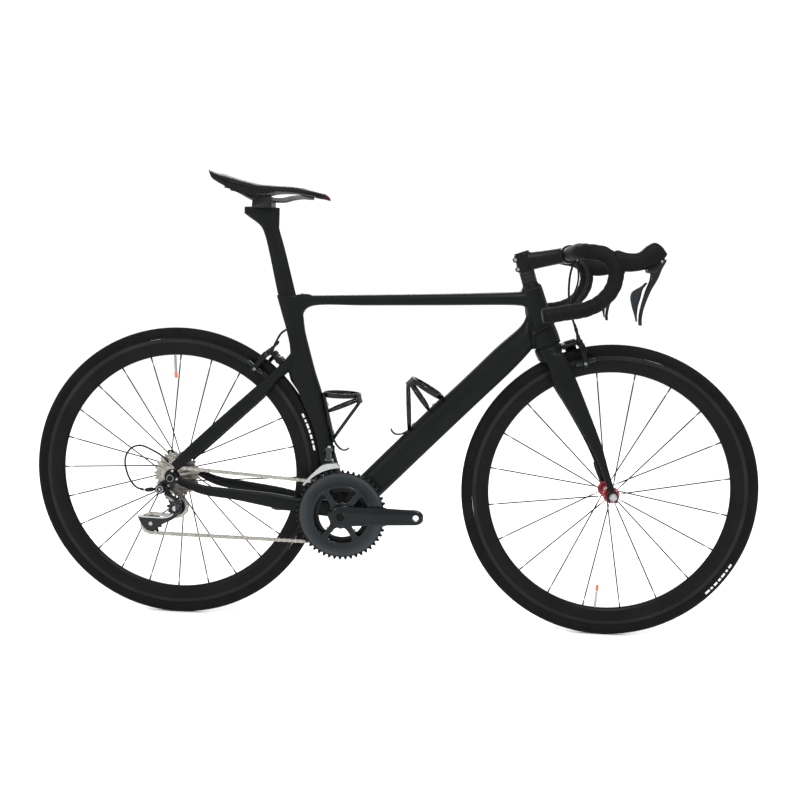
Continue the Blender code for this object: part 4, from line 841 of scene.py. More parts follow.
def make_frame():
    seat_tube = edge_loft(refined([
        ((218, 754), (268, 757), 0, 13.5), ((231, 712), (280, 714), 0, 14), ((243, 673), (286, 675), 0, 15),
        ((252, 631), (298, 631), 0, 17), ((250, 580), (313, 580), 0, 18.5), ((268, 530), (330, 530), 0, 19.5),
        ((298, 472), (343, 470), 0, 20), ((313, 430), (354, 430), 0, 20), ((324, 380), (368, 380), 0, 21),
        ((345, 310), (392, 310), 0, 24), ((366, 262), (406, 262), 0, 26)]), 44, 2.4)
    top_tube = edge_loft(refined([
        ((262, 756), (277, 705), 0, 13), ((296, 757), (303, 733), 0, 14.5), ((420, 763), (424, 738), 0, 17),
        ((600, 772), (603, 745), 0, 19), ((752, 781), (756, 751), 0, 21), ((792, 785), (792, 745), 0, 19)]),
        44, 2.7)
    down_tube = ridged_loft(refined([
        ((378, 301), (411, 243), 0, 30), ((424, 348), (470, 301), 0, 28.5), ((518, 447), (564, 400), 0, 27),
        ((640, 570), (684, 526), 0, 26), ((720, 654), (759, 604), 0, 25), ((772, 704), (800, 653), 0, 21),
        ((784, 728), (803, 668), 0, 14)]), 44)
    head_rows = spline_rows([(0.5, 31.5, 26.5), (22, 31, 27), (60, 27, 24), (HEAD_LENGTH - 2, 24, 22.5),
                             (HEAD_LENGTH - 0.5, 23, 21.5)], 8)
    head_tube = rings_solid([oval(head_point(height), Y_AXIS, HEAD_FORWARD, wide, deep, 56)
                             for height, deep, wide in head_rows])
    shell = disc([(-34, 25.2), (-33, 26), (33, 26), (34, 25.2)], CRANK_CENTRE, Y_AXIS, 64)
    chain_stay = edge_loft(refined([
        ((372, 292), (372, 250), 22, 11), ((300, 293), (296, 258), 27.5, 8.8),
        ((225, 304), (222, 270), 37, 8.5),
        ((142, 312), (140, 286), 47, 8), ((70, 320), (68, 297), 57, 6.5), ((12, 341), (9, 322), 68.2, 3.2)]),
        32, 2.6)
    seat_stay = edge_loft(refined([
        ((262, 634), (255, 585), 10, 9), ((238, 603), (225, 556), 19.5, 8),
        ((196, 562), (201, 525), 24.5, 6.5),
        ((96, 468), (112, 440), 43, 6), ((26, 399), (42, 375), 62.5, 5), ((-2, 368), (12, 350), 68.5, 3.0)]),
        32, 2.6)
    bridge = tube([Vector((229, -19, 607)), Vector((229, 19, 607))], [8.5, 8.5], 32, Z_AXIS)
    wedge = edge_loft(refined([
        ((258, 752), (262, 746), 0, 9), ((266, 757.5), (268, 748), 0, 10.5),
        ((284, 760), (286, 750), 0, 10.5), ((296, 759), (298, 751), 0, 9)], 4), 32, 3)
    body = shape_of(melted([seat_tube, top_tube, down_tube, head_tube, shell, bridge, chain_stay,
                            mirrored(chain_stay), seat_stay, mirrored(seat_stay), wedge], FRAME_VOXEL, 5))
    socket = rings_solid(post_rings(GAP, [((243.5, 680), (281, 690), 9.4), *POST_IN_FRAME,
                                          ((211, 797), (249, 807), 10.1)], 40))
    cutters = [rod(head_point(-5), head_point(HEAD_LENGTH + 10), STEERER_RADIUS + 0.4, count=48),
               rod(head_point(-4), head_point(9), 21, count=48),
               cross_rod(CRANK_CENTRE, -40, 40, 22.0, 64), socket,
               wheel_space(REAR_AXLE, REAR_GROOVE),
               rod(brake_point(REAR_BRAKE, 0, 0, -30), brake_point(REAR_BRAKE, 0, 0, 30), BRAKE_HOLE, 16)]
    piece("frame_shell", cut(body, *cutters), CARBON, "frame", ["frame"], sharp=50)
    ends = dropout(REAR_AXLE, REAR_SPACING, REAR_SPACING + DROPOUT_THICKNESS, 15)
    piece("frame_dropouts", both(ends), SATIN_BLACK, "frame", (), bevel=0.8)
    hanger = plate(smooth_loop([(-12, 331), (3, 325), (2, 312), (-10, 301), (-27, 300), (-33, 310),
                                (-29, 321)], 4),
                   -REAR_SPACING - DROPOUT_THICKNESS - 0.3, -REAR_SPACING - 0.3)
    piece("derailleur_hanger", hanger, DARK_GREY, "frame", (), bevel=0.6)
    screws = [hex_bolt(Vector((x, -REAR_SPACING - DROPOUT_THICKNESS, z)), Y_AXIS * -1, radius, 1.4)
              for x, z, radius in ((12.5, 333, 3.0), (2.5, 351, 3.0), (-6.5, 316, 3.2))]
    screws += [hex_bolt(Vector((x, REAR_SPACING + DROPOUT_THICKNESS, z)), Y_AXIS, 3.0, 1.4)
               for x, z in ((12.5, 333), (2.5, 351))]
    piece("dropout_screws", merged(*screws), SILVER, "frame", ())
    bosses = [disc([(-3.0, 5.6), (-0.2, 5.6), (GAP - 0.1, 5.0)], foot + up * height, out, 32)
              for foot, up, out in CAGE_PLACES for height in BOSS_HEIGHTS]
    piece("bottle_bosses", merged(*bosses), SATIN_BLACK, "frame")
    collar = head_ring([(HEAD_LENGTH - 2.6, 22.0), (HEAD_LENGTH - 2.6, 23.4), (HEAD_LENGTH - 1.0, 23.6),
                     (HEAD_LENGTH - 0.2, 22.8), (HEAD_LENGTH - 0.2, 22.0)], 64)
    piece("headset_upper_rim", collar, SATIN_BLACK, "frame")
    wedge_bolt = hex_bolt(Vector((277, 0, 759.2)), Vector((-0.04, 0, 1)).normalized(), 3.6, 1.8)
    piece("seat_wedge_bolt", wedge_bolt, SILVER, "frame")


def post_rings(grow, stations, count):
    rings = []
    for (x_rear, z_rear), (x_front, z_front), half_width in stations:
        rear = Vector((x_rear, 0, z_rear))
        front = Vector((x_front, 0, z_front))
        half = (front - rear) / 2
        rings.append(oval((rear + front) / 2, Y_AXIS, half.normalized(), half_width + grow,
                          half.length + grow, count, 2.2))
    return rings


def make_seatpost():
    rows = spline_rows([(*rear, *front, wide) for rear, front, wide in POST_IN_FRAME + POST_ABOVE[:-1]], 8)
    stations = [((row[0], row[1]), (row[2], row[3]), row[4]) for row in rows]
    post = rings_solid(post_rings(0.0, [*stations, POST_ABOVE[-1]], 44))
    piece("seatpost_tube", post, CARBON, "frame", ["seatpost"], bevel=0.8, sharp=32)
    rails = [tube(half, [RAIL_RADIUS + 0.4] * len(half), 24)
             for half in (smooth_path(rail_path()[:8], 6), smooth_path(rail_path()[-8:], 6))]
    cradle = plate(smooth_loop([(163, 949), (164, 946.5), (206, 946.5), (207, 949), (206, 967), (200, 974),
                                (171, 974), (165, 967)], 4), -27, 27)
    split = box((150, -40, 964.9), (220, 40, 966.1))
    piece("saddle_clamp", cut(cradle, *rails, split), SATIN_BLACK, "frame", (), bevel=0.8)
    heads = [hex_bolt(Vector((x, y, 973.6)), Z_AXIS, 3.6, 3.2) for x in (176, 194) for y in (-12, 12)]
    piece("saddle_clamp_bolts", merged(*heads), SILVER, "frame", ())


def make_fork():
    crown_rows = spline_rows([(-1.2, 30, 25), (-3, 31, 27), (-14, 30, 30), (-34, 27, 34)], 6)
    crown = rings_solid([oval(head_point(height), Y_AXIS, HEAD_FORWARD, wide, deep, 48, 2.2)
                         for height, deep, wide in crown_rows])
    blade = edge_loft(refined([
        ((870, 652), (829, 640), 23, 9), ((885, 625), (838, 611), 27, 9.5), ((902, 590), (850, 578), 30, 8.5),
        ((932, 523), (893, 515), 36, 7), ((962, 453), (935, 448), 43, 6), ((981, 395), (965, 391), 49, 5.2),
        ((996, 352), (981, 347), 53, 3.2), ((1000, 344), (985, 342.5), 53.1, 2.8)]), 36, 2.3)
    shape = shape_of(melted([crown, blade, mirrored(blade)], FRAME_VOXEL, 6))
    cutters = [wheel_space(FRONT_AXLE, FRONT_GROOVE),
               rod(brake_point(FRONT_BRAKE, 0, 0, -100), brake_point(FRONT_BRAKE, 0, 0, 30), BRAKE_HOLE, 16)]
    piece("fork_blades", cut(shape, *cutters), CARBON, "steering", ["fork"], sharp=50)
    ends = dropout(FRONT_AXLE, FRONT_SPACING, FRONT_SPACING + DROPOUT_THICKNESS, 14)
    piece("fork_dropouts", both(ends), SATIN_BLACK, "steering", (), bevel=0.8)
    steerer = rod(head_point(-20), head_point(STEM_HEIGHTS[1] - 2), STEERER_RADIUS, count=48)
    piece("fork_steerer", steerer, SATIN_BLACK, "steering")
    race = head_ring([(-0.6, 27.0), (-0.6, 15.0), (0.2, 15.0), (0.2, 27.0)], 64)
    piece("fork_crown_race", race, SATIN_BLACK, "steering")


def make_stem():
    seat = STEERER_RADIUS + GAP
    low = HEAD_LENGTH + GAP
    high = STEM_HEIGHTS[0] - GAP
    cone = head_ring(spline_rows([(low, seat), (low, 23.2), (low + 2, 22.6), (low + 8, 18.0),
                                  (low + 10, 17.2),
                               (low + 14, 17.0)], 4) + [(low + 14, seat)], 72)
    rings = [cone]
    start = low + 14.3
    thickness = (high - start - 0.6) / 3
    for index in range(3):
        foot = start + index * (thickness + 0.3)
        rings.append(head_ring([(foot, seat), (foot, 16.7), (foot + 0.4, 17.1),
                                (foot + thickness - 0.4, 17.1),
                             (foot + thickness, 16.7), (foot + thickness, seat)], 72))
    piece("spacer_stack", merged(*rings), SATIN_BLACK, "steering", ["headset_spacers"],
          sharp=30)
    low, high = STEM_HEIGHTS
    collar = disc([(low, 17.2), (low + 1, 18.2), (high - 1, 18.2), (high, 17.4)], HEAD_LOW, HEAD_UP, 56)
    centre = head_point((low + high) / 2)
    reach = (BAR_CENTRE - centre).normalized()
    rise = Y_AXIS.cross(reach) * -1
    length = (BAR_CENTRE - centre).length
    neck = rings_solid([oval(centre + reach * place, Y_AXIS, rise, wide, tall, 48, 2.6) for place, wide, tall
                        in spline_rows([(-10, 15, 19.5), (10, 17, 20), (40, 17, 18.5), (70, 18.5, 17.5),
                                        (length - 4, 21, 17)], 6)])
    clamp = disc([(-21, 19.6), (-20, 20.4), (20, 20.4), (21, 19.6)], BAR_CENTRE, Y_AXIS, 64)
    shape = shape_of(melted([collar, neck, clamp], 1.5, 8))
    cuts = [rod(head_point(low - 5), head_point(high + 5), seat, count=56),
            cross_rod(BAR_CENTRE, -30, 30, 16.2, 56)]
    seam_at = BAR_CENTRE + reach * 3.0
    seam = hull([seam_at + reach * a + rise * b + Y_AXIS * c for a in (-0.45, 0.45) for b in (-30, 30)
                 for c in (-30, 30)])
    slot_back = hull([centre - reach * a + rise * b + Y_AXIS * c for a in (10, 30) for b in (-40, 40)
                      for c in (-0.5, 0.5)])
    piece("stem_body", cut(shape, *cuts, seam, slot_back), SATIN_BLACK, "steering", ["stem"],
          sharp=50)
    bolts = [hex_bolt(BAR_CENTRE + reach * 16.4 + rise * tall * 13.2 + Y_AXIS * side * 14.5, reach, 3.4, 3.2)
             for side in (-1, 1) for tall in (-1, 1)]
    for height in (low + 9, high - 10):
        foot = head_point(height) - HEAD_FORWARD * 17.4 - Y_AXIS * 8.0
        bolts.append(hex_bolt(foot, Y_AXIS * -1, 3.9, 2.4))
        bolts.append(disc([(0, 3.4), (15.6, 3.4)], foot, Y_AXIS, 24))
    piece("stem_bolts", merged(*bolts), SILVER, "steering", ())
    lugs = [disc([(0.8, 6.0), (7.2, 6.3), (8.2, 5.4)], head_point(height) - HEAD_FORWARD * 16.8,
                 Y_AXIS * side, 32)
            for height in (low + 9, high - 10) for side in (-1, 1)]
    piece("stem_clamp_lugs", merged(*lugs), SATIN_BLACK, "steering", bevel=0.3)
    cap = disc([(high + 0.3, 17.2), (high + 0.9, 17.6), (high + 2.2, 17.0), (high + 3.4, 14.0),
                (high + 3.8, 8.0), (high + 3.4, 5.4)], HEAD_LOW, HEAD_UP, 56)
    piece("stem_top_cap", cap, SATIN_BLACK, "steering", bevel=0.3)
    piece("top_cap_bolt", hex_bolt(head_point(high + 3.2), HEAD_UP, 4.4, 1.4), SILVER, "steering")


# ---------------------------------------------------------------- handlebar and controls


def bar_tube(radius_at, spacing, count):
    frames = frames_along(smooth_path([Vector(point) for point in BAR_ROUTE], spacing), Z_AXIS)
    travelled = 0.0
    rings = []
    for index, (point, side, front) in enumerate(frames):
        if index:
            travelled += (point - frames[index - 1][0]).length
        ring = []
        for corner in range(count):
            turn = corner / count
            out = side * math.cos(2 * math.pi * turn) + front * math.sin(2 * math.pi * turn)
            ring.append(point + out * radius_at(point, travelled, turn))
        rings.append((point, ring))
    return rings


def bar_radius(point, travelled, turn):
    """The bar is thick where the stem holds it and tapers to its grips."""
    taper = min(max((point.y - 26) / 22, 0), 1)
    taper = taper * taper * (3 - 2 * taper)
    return BAR_CLAMP_RADIUS + (BAR_RADIUS - BAR_CLAMP_RADIUS) * taper


def tape_radius(point, travelled, turn):
    """A strip wound round the bar: each turn climbs onto the last, and the edge it leaves is a small step."""
    place = (travelled / TAPE_PITCH + turn) % 1.0
    return TAPE_RADIUS - 0.75 + 1.0 * min(1.0, 3.2 * place * (1.0 - place) + 0.35 * place)


def make_bar():
    half = [ring for _, ring in bar_tube(bar_radius, 6.0, 40)]
    other = [[Vector((point.x, -point.y, point.z)) for point in ring] for ring in half[:0:-1]]
    piece("bar_tube", rings_solid(other + half), SATIN_BLACK, "steering", ["handlebar"],
          sharp=60)
    taped = [(point, ring) for point, ring in bar_tube(tape_radius, 1.3, 48) if point.y > TAPE_START]
    inner = [(point, ring) for point, ring in bar_tube(lambda *_: BAR_RADIUS + 0.2, 1.3, 48)
             if point.y > TAPE_START]
    wall = rings_solid([ring for _, ring in taped] + [ring for _, ring in reversed(inner)], looped=True)
    end = taped[-1][0]
    along = (end - taped[-8][0]).normalized()
    plug = disc([(-2, 11.6), (0.2, 11.6), (0.2, 14.6), (2.0, 15.2), (3.4, 13.4), (4.0, 9.0)], end, along, 40)
    first = taped[0][0]
    finish_band = disc([(-3.2, 16.0), (-2.8, 16.3), (6.5, 16.3), (7.0, 16.0)], first, Y_AXIS, 48)
    finish_band = cut(finish_band, cross_rod(first, -10, 12, 12.4, 48))
    for name, mirror in (("left", lambda shape: shape), ("right", mirrored)):
        piece("wrapped_tape_" + name, mirror(wall), TAPE, "steering", ["bar_tape_" + name],
              sharp=70)
        piece("bar_plug_" + name, mirror(plug), PLASTIC, "steering", bevel=0.3)
        piece("tape_end_" + name, mirror(finish_band), SATIN_BLACK, "steering")


def make_controls(side_name, side):
    """A hood over its lever body, the brake lever, and the shift paddle behind it."""
    def sided(shape):
        return mirrored(shape) if side < 0 else shape

    y = LEVER_SIDE
    hood = edge_loft(refined([
        ((936, 868), (938, 834), y, 14), ((944, 870.5), (946, 831), y, 15), ((962, 866), (965, 828), y, 14),
        ((984, 867), (985, 830), y, 15), ((1001, 881), (1002, 834), y, 15), ((1016, 888), (1014, 838), y, 14),
        ((1030, 881), (1024, 845), y, 12.5), ((1039, 870), (1032, 852), y, 9.6),
        ((1042, 866), (1036, 856), y, 6)]), 44, 2.3)
    lip = edge_loft(refined([((1005, 836), (1003, 830), y, 11), ((1016, 840), (1015, 834), y, 11),
                             ((1028, 849), (1029, 842), y, 9)]), 24, 2.6)
    shape = melted([hood, lip], 1.1, 4)
    around = [ring for _, ring in bar_tube(lambda *_: TAPE_RADIUS + 0.45, 8.0, 32)]
    shape = cut(shape_of(shape), rings_solid(around), box((880, 150, 800), (938, 250, 900)))
    piece("rubber_hood_" + side_name, sided(shape), HOOD_RUBBER, "steering", ["hood_" + side_name],
          sharp=50)
    bracket = edge_loft(refined([((1001, 835), (1004, 827), y, 9.5), ((1016, 840), (1018, 826), y, 9.0),
                                 ((1031, 852), (1027, 838), y, 8.2), ((1036, 860), (1034, 850), y, 7)]), 24,
                                 3)
    piece("lever_bracket_" + side_name, sided(bracket), GLOSS_BLACK, "steering")
    lever = edge_loft(refined([
        ((1042, 856), (1031, 851), y, 6.0), ((1040, 848), (1022, 842), y, 7.4),
        ((1034, 836), (1012, 832), y, 7.4),
        ((1027, 816), (1010, 813), y, 7.0), ((1014, 790), (1002, 788), y, 7),
        ((1003, 757), (995, 756), y, 7.2),
        ((1000, 735), (993, 735), y, 6.6), ((1001, 725), (994, 723), y, 5.0),
        ((1000, 721), (997, 721), y, 2.5)]), 32, 2.6)
    piece("brake_blade_" + side_name, sided(lever), GLOSS_BLACK, "brake_lever_" + side_name,
          ["brake_lever_" + side_name], sharp=60)
    pin = disc([(-8.6, 2.2), (-8.2, 2.6), (8.2, 2.6), (8.6, 2.2)], Vector((1031, y, 851)), Y_AXIS, 28)
    piece("lever_pin_" + side_name, sided(pin), SILVER, "brake_lever_" + side_name, ())
    trim = rings_solid([oval(Vector((x, y, z)), Y_AXIS, Vector((0.5, 0, 0.86)), 8.6, 7.4, 36, 3)
                        for x, z in ((1033, 851), (1034.2, 850.2))])
    piece("lever_trim_" + side_name, sided(trim), GREY_METAL, "brake_lever_" + side_name)
    paddle_y = LEVER_SIDE - 5
    paddle = edge_loft(refined([
        ((1008, 808), (1002, 808), paddle_y, 3), ((1004, 801), (994, 800), paddle_y, 3.6),
        ((999, 793), (979, 790), paddle_y, 3.8), ((996, 777), (975, 777), paddle_y, 3.6),
        ((992, 760), (979, 759), paddle_y, 3.4), ((991, 742), (985, 742), paddle_y, 2.8),
        ((992, 730), (989, 728), paddle_y, 2.0)]), 24, 2.6)
    piece("shift_blade_" + side_name, sided(paddle), BLUE_GREY, "shift_paddle_" + side_name,
          ["shift_paddle_" + side_name], sharp=60)


# ---------------------------------------------------------------- rim brakes


def make_brake(end, brake, bolt_start, back, body):
    second = (14.0, 3.0)
    outward, forward = brake_axes(brake)
    bolt = rod(brake_point(brake, 0, 0, bolt_start), brake_point(brake, 0, 0, 30.5), 3.0, count=24)
    bridge = brake_plate(brake, smooth_loop([(-6, -5), (6, -5.5), (18, -4), (21, 3), (14, 9.5), (4, 6.5),
                                             (-5, 6)], 4),
                         back, back + 7)
    pin = rod(brake_point(brake, *second, back + 3), brake_point(brake, *second, 20.6), 2.6, count=24)
    piece(end + "_brake_spine", merged(bolt, bridge, pin), SATIN_BLACK, body, [end + "_brake_bolt"],
          bevel=0.3)
    heads = [hex_bolt(brake_point(brake, 0, 0, 29.6), forward, 5.8, 4.0),
             hex_bolt(brake_point(brake, *second, 19.4), forward, 4.8, 3.4)]
    piece(end + "_brake_bolt_heads", merged(*heads), SILVER, body, ())
    for name, side, pivot, low, high in (("left", 1, second, back + 7.4, 19.0),
                                         ("right", -1, (0.0, 0.0), 19.4, 30.0)):
        rides = f"{end}_brake_arm_{name}"
        if side > 0:
            outline = [(7.5, -0.5), (18, -5.5), (23.5, -15), (22.8, -30), (21.5, -42), (22, -53), (29, -54),
                       (32, -44), (34.5, -30), (35.5, -14), (30, 2), (20, 10.5), (9, 9.5)]
        else:
            outline = [(7, -5), (-6, -6), (-19, -10), (-24.5, -20), (-23, -34), (-21.5, -44), (-22, -53),
                       (-29, -54),
                       (-32, -44), (-35, -30), (-36.5, -16), (-33, -3), (-22, 7), (-6, 10.5), (6, 8.5)]
        arm = brake_plate(brake, smooth_loop(outline, 5), low, high)
        hole = rod(brake_point(brake, *pivot, low - 2), brake_point(brake, *pivot, high + 2), BRAKE_HOLE, 28)
        piece(f"{end}_caliper_{name}", cut(arm, hole), SATIN_BLACK, rides, [rides], bevel=2.4,
              segments=4)
        middle = 16.0 if side > 0 else 22.8
        holder_rows = ((-19, 2.2), (-17.5, 4.0), (-8, 4.9), (8, 5.1), (20, 4.6), (24, 3.4), (25, 2.0))
        pad_rows = ((-18.5, 3.0), (-17, 4.2), (23, 4.2), (24.5, 3.0))
        for part, rows, apart, thick, power, finish, slot in (
                ("pad_holder", holder_rows, 19.4, 3.0, 3, GREY_METAL, "grey_component"),
                ("brake_pad", pad_rows, 14.4, 2.5, 5, PAD, None)):
            rings = [oval(brake_point(brake, side * apart, -44.5, middle + along), Y_AXIS, outward, thick,
                          tall, 20, power)
                     for along, tall in rows]
            piece(f"{end}_{part}_{name}", rings_solid(rings), finish, rides, ())
        bolt_at = brake_point(brake, side * 31.0, -46.5, middle)
        piece(f"{end}_pad_bolt_{name}", hex_bolt(bolt_at - Y_AXIS * side * 9, Y_AXIS * side, 3.6, 11.5),
              SILVER, rides)
    rides = end + "_brake_arm_right"
    clamp = brake_point(brake, -29.5, 3.5, 22.8)
    barrel = disc([(-13, 2.4), (0, 2.4), (0, 4.0), (1, 4.4), (15, 4.4), (16, 4.0), (16, 3.2), (24, 3.2),
                   (25, 4.0), (31, 4.0), (33, 3.2), (34.6, 3.0)], clamp, outward, 28)
    piece(end + "_barrel_adjuster", barrel, SATIN_BLACK, rides, (), bevel=0.25)
    lever = brake_plate(brake, smooth_loop([(-26, -3), (-31, -1), (-38, -8), (-42, -19), (-40, -20),
                                            (-35, -11), (-29, -7)], 4), 29.8, 31.8)
    piece(end + "_brake_release", lever, SATIN_BLACK, rides, (), bevel=0.5)


# ---------------------------------------------------------------- drivetrain


def crank_plate(outline, y_low, y_high):
    return plate([(point.x, point.z) for point in outline], y_low, y_high)


def smooth_loop_of(points):
    """A closed outline of points in the middle plane, with a smooth curve through them."""
    return [Vector((x, 0, z)) for x, z in smooth_loop([(point.x, point.z) for point in points], 5)]


def tooth_ring(centre, teeth, y, half, hole, steps=96):
    """A ring with rounded teeth, thinned towards their tips."""
    root = pitch_radius(teeth) - 3.6
    tip = tip_radius(teeth) - 0.3
    rings = []
    for depth, rise in ((-half, 0.86), (-half * 0.45, 1.0), (half * 0.45, 1.0), (half, 0.86)):
        ring = []
        for tooth in range(teeth):
            for part, share in ((0.0, 0.0), (0.16, 0.12), (0.3, 0.72), (0.42, 1.0), (0.58, 1.0), (0.7, 0.72),
                                (0.84, 0.12)):
                angle = 360 * (tooth + part) / teeth
                ring.append(on_circle(centre, root + (tip - root) * share * rise,
                                      angle) + Y_AXIS * (y + depth))
        rings.append(ring)
    return cut(rings_solid(rings), cross_rod(Vector((centre.x, 0, centre.z)), y - 6, y + 6, hole, steps))


def square_to(angle):
    """The direction in the middle plane that is square to an angle."""
    return Vector((-math.sin(math.radians(angle)), 0, math.cos(math.radians(angle))))


def spider_arm(angle, low, high, y_low, y_high, wide_low, wide_high):
    across = square_to(angle)
    rows = spline_rows([(low, wide_low * 1.3), (low + (high - low) * 0.3, wide_low * 0.82),
                        (low + (high - low) * 0.65, wide_high * 0.86), (high, wide_high * 1.35)], 5)
    outline = [on_circle(CRANK_CENTRE, radius, angle) + across * wide for radius, wide in rows]
    outline += [on_circle(CRANK_CENTRE, radius, angle) - across * wide for radius, wide in reversed(rows)]
    return crank_plate(outline, y_low, y_high)


def spider_plate(y_low, y_high):
    """The chain side's four arms: a round plate with four rounded windows between them."""
    rim = [on_circle(CRANK_CENTRE, 69.5, 3 * index) for index in range(120)]
    windows = []
    angles = sorted(angle % 360 for angle in SPIDER_ANGLES)
    for index, start in enumerate(angles):
        end = angles[(index + 1) % len(angles)] + (360 if index + 1 == len(angles) else 0)
        corners = [(46, start + 8.5)]
        corners += [(63, start + 8.5 + (end - start - 17) * step / 4) for step in range(5)]
        corners += [(46, end - 8.5)]
        corners += [(31, end - 17 - (end - start - 34) * step / 2) for step in range(3)]
        outline = [on_circle(CRANK_CENTRE, radius, angle) for radius, angle in corners]
        windows.append(crank_plate(smooth_loop_of(outline), y_low - 3, y_high + 3))
    return cut(crank_plate(rim, y_low, y_high), *windows)


def crank_rings(side, rows):
    rings = []
    for place, inner, outer, half_height in spline_rows(rows, 8):
        centre = Vector((place, side * (inner + outer) / 2, 0))
        rings.append(oval(centre, Y_AXIS, Z_AXIS, (outer - inner) / 2, half_height, 40, 2.7))
    return rings_solid(rings)


def make_cranks():
    rows = [(-25, 52, 60, 11), (-15, 50.5, 65, 20.5), (0, 50.5, 67.5, 24), (24, 50.5, 68.5, 23),
            (80, 52.5, 69.5, 20.6),
            (150, 57.5, 71.5, 18.2), (CRANK_LENGTH, 58.0, 71.5, 17.6), (CRANK_LENGTH + 11, 58.6, 71.3, 13.6),
            (CRANK_LENGTH + 16.8, 60.5, 70.5, 6.5)]
    for name, side, angle in (("right", -1, CRANK_ANGLE), ("left", 1, CRANK_ANGLE + 180)):
        turn = Matrix.Translation(CRANK_CENTRE) @ Matrix.Rotation(math.radians(-angle), 4, "Y")
        shapes = [placed(crank_rings(side, rows), turn)]
        if side < 0:
            shapes.append(disc([(-61, 19), (-59, 24.5), (-46, 25.5), (-44.6, 24)], CRANK_CENTRE, Y_AXIS, 64))
            shapes.append(spider_plate(-55.5, -46.8))
        body = shape_of(melted(shapes, 1.15, 5))
        eye = on_circle(CRANK_CENTRE, CRANK_LENGTH, angle)
        cutters = [cross_rod(eye, side * 50, side * 80, PEDAL_EYE_RADIUS, 40),
                   cross_rod(CRANK_CENTRE, side * 57, side * 80, 9.5, 40)]
        if side > 0:
            cutters.append(cross_rod(CRANK_CENTRE, 40, 58, SPINDLE_RADIUS + 0.4, 48))
        piece("crank_" + name, cut(body, *cutters), GREY_METAL, "crankset", ["crank_arm_" + name],
              sharp=50)
        thread = turned([(side * y, radius) for y, radius in (
            (58.5, PEDAL_EYE_RADIUS), (58.5, 7.2), (71.2, 7.2), (71.2, 6.4), (70.4, 6.2), (59, 6.2))], eye,
            48)
        piece("pedal_thread_" + name, thread, SILVER, "crankset", ())
        cap = disc([(side * y, radius) for y, radius in (
            (57.5, 9.0), (62.5, 9.2), (63.4, 8.4), (63.0, 5.4), (60.5, 5.0))], CRANK_CENTRE)
        piece("crank_cap_" + name, cap, SATIN_BLACK, "crankset", bevel=0.2)
    piece("crank_spindle", cross_rod(CRANK_CENTRE, -50, 62, SPINDLE_RADIUS, 40), SILVER, "crankset")
    outline = [on_circle(CRANK_CENTRE, 21.8 if index % 2 else 21.2, 360 * (index + part) / (2 * CUP_NOTCHES))
               for index in range(2 * CUP_NOTCHES) for part in (0.1, 0.9)]
    cups = [cut(crank_plate(outline, side * 34.6, side * 43.4),
                cross_rod(CRANK_CENTRE, side * 30, side * 50, SPINDLE_RADIUS + 0.8, 40)) for side in (-1, 1)]
    piece("bearing_cups", merged(*cups), SATIN_BLACK, "frame", ["bottom_bracket"], bevel=0.3)


def make_chainrings():
    def outside(profile):
        """A ring on the large chainring: each point is (place outwards from the teeth, radius)."""
        return turned([(LARGE_RING_Y - out, radius) for out, radius in profile], CRANK_CENTRE, ROUND_STEPS)

    teeth = tooth_ring(CRANK_CENTRE, LARGE_RING_TEETH, LARGE_RING_Y, 1.15, 86.0, ROUND_STEPS)
    piece("ring_teeth_large", teeth, SATIN_BLACK, "crankset", ["chainring_large"], sharp=30)
    band = outside([(-1.1, 66.5), (-1.1, 88.5), (1.2, 89.5), (1.9, 88.0), (5.2, 70.0), (5.4, 67.4),
                    (4.6, 66.2)])
    piece("ring_band_large", band, GREY_METAL, "crankset", (), sharp=30)
    # A dark ring on the outer face, between the grey band and the tooth roots: painted shadow under the
    # band's edge.
    step = outside([(1.3, 88.6), (1.3, 95.6), (1.9, 95.0), (2.2, 89.4)])
    piece("ring_painted_shadow_large", step, DARK_GREY, "crankset", sharp=30)
    small = tooth_ring(CRANK_CENTRE, SMALL_RING_TEETH, SMALL_RING_Y, 1.0, 53.0, 120)
    tabs = [spider_arm(angle, 45, 56, SMALL_RING_Y - 1.0, SMALL_RING_Y + 1.0, 8,
                       8) for angle in SPIDER_ANGLES]
    piece("ring_teeth_small", merged(small, *tabs), SATIN_BLACK, "crankset", ["chainring_small"],
          sharp=30)
    bolts = []
    for angle in SPIDER_ANGLES:
        foot = on_circle(CRANK_CENTRE, 55.0, angle)
        bolts.append(disc([(-38.0, 4.6), (-37.5, 5.0), (-37.2, 5.0), (-37.0, 4.4)], foot, Y_AXIS, 24))
        bolts.append(cross_rod(foot, -52, -37.2, 3.6, 20))
    piece("ring_bolts", merged(*bolts), SILVER, "crankset", ())
    pins = [disc([(LARGE_RING_Y - 1.2, 1.6), (LARGE_RING_Y + 1.4, 1.6)],
                 on_circle(CRANK_CENTRE, 93.0, 72 * index + 20), Y_AXIS, 16) for index in range(5)]
    piece("shift_pins", merged(*pins), SILVER, "crankset")


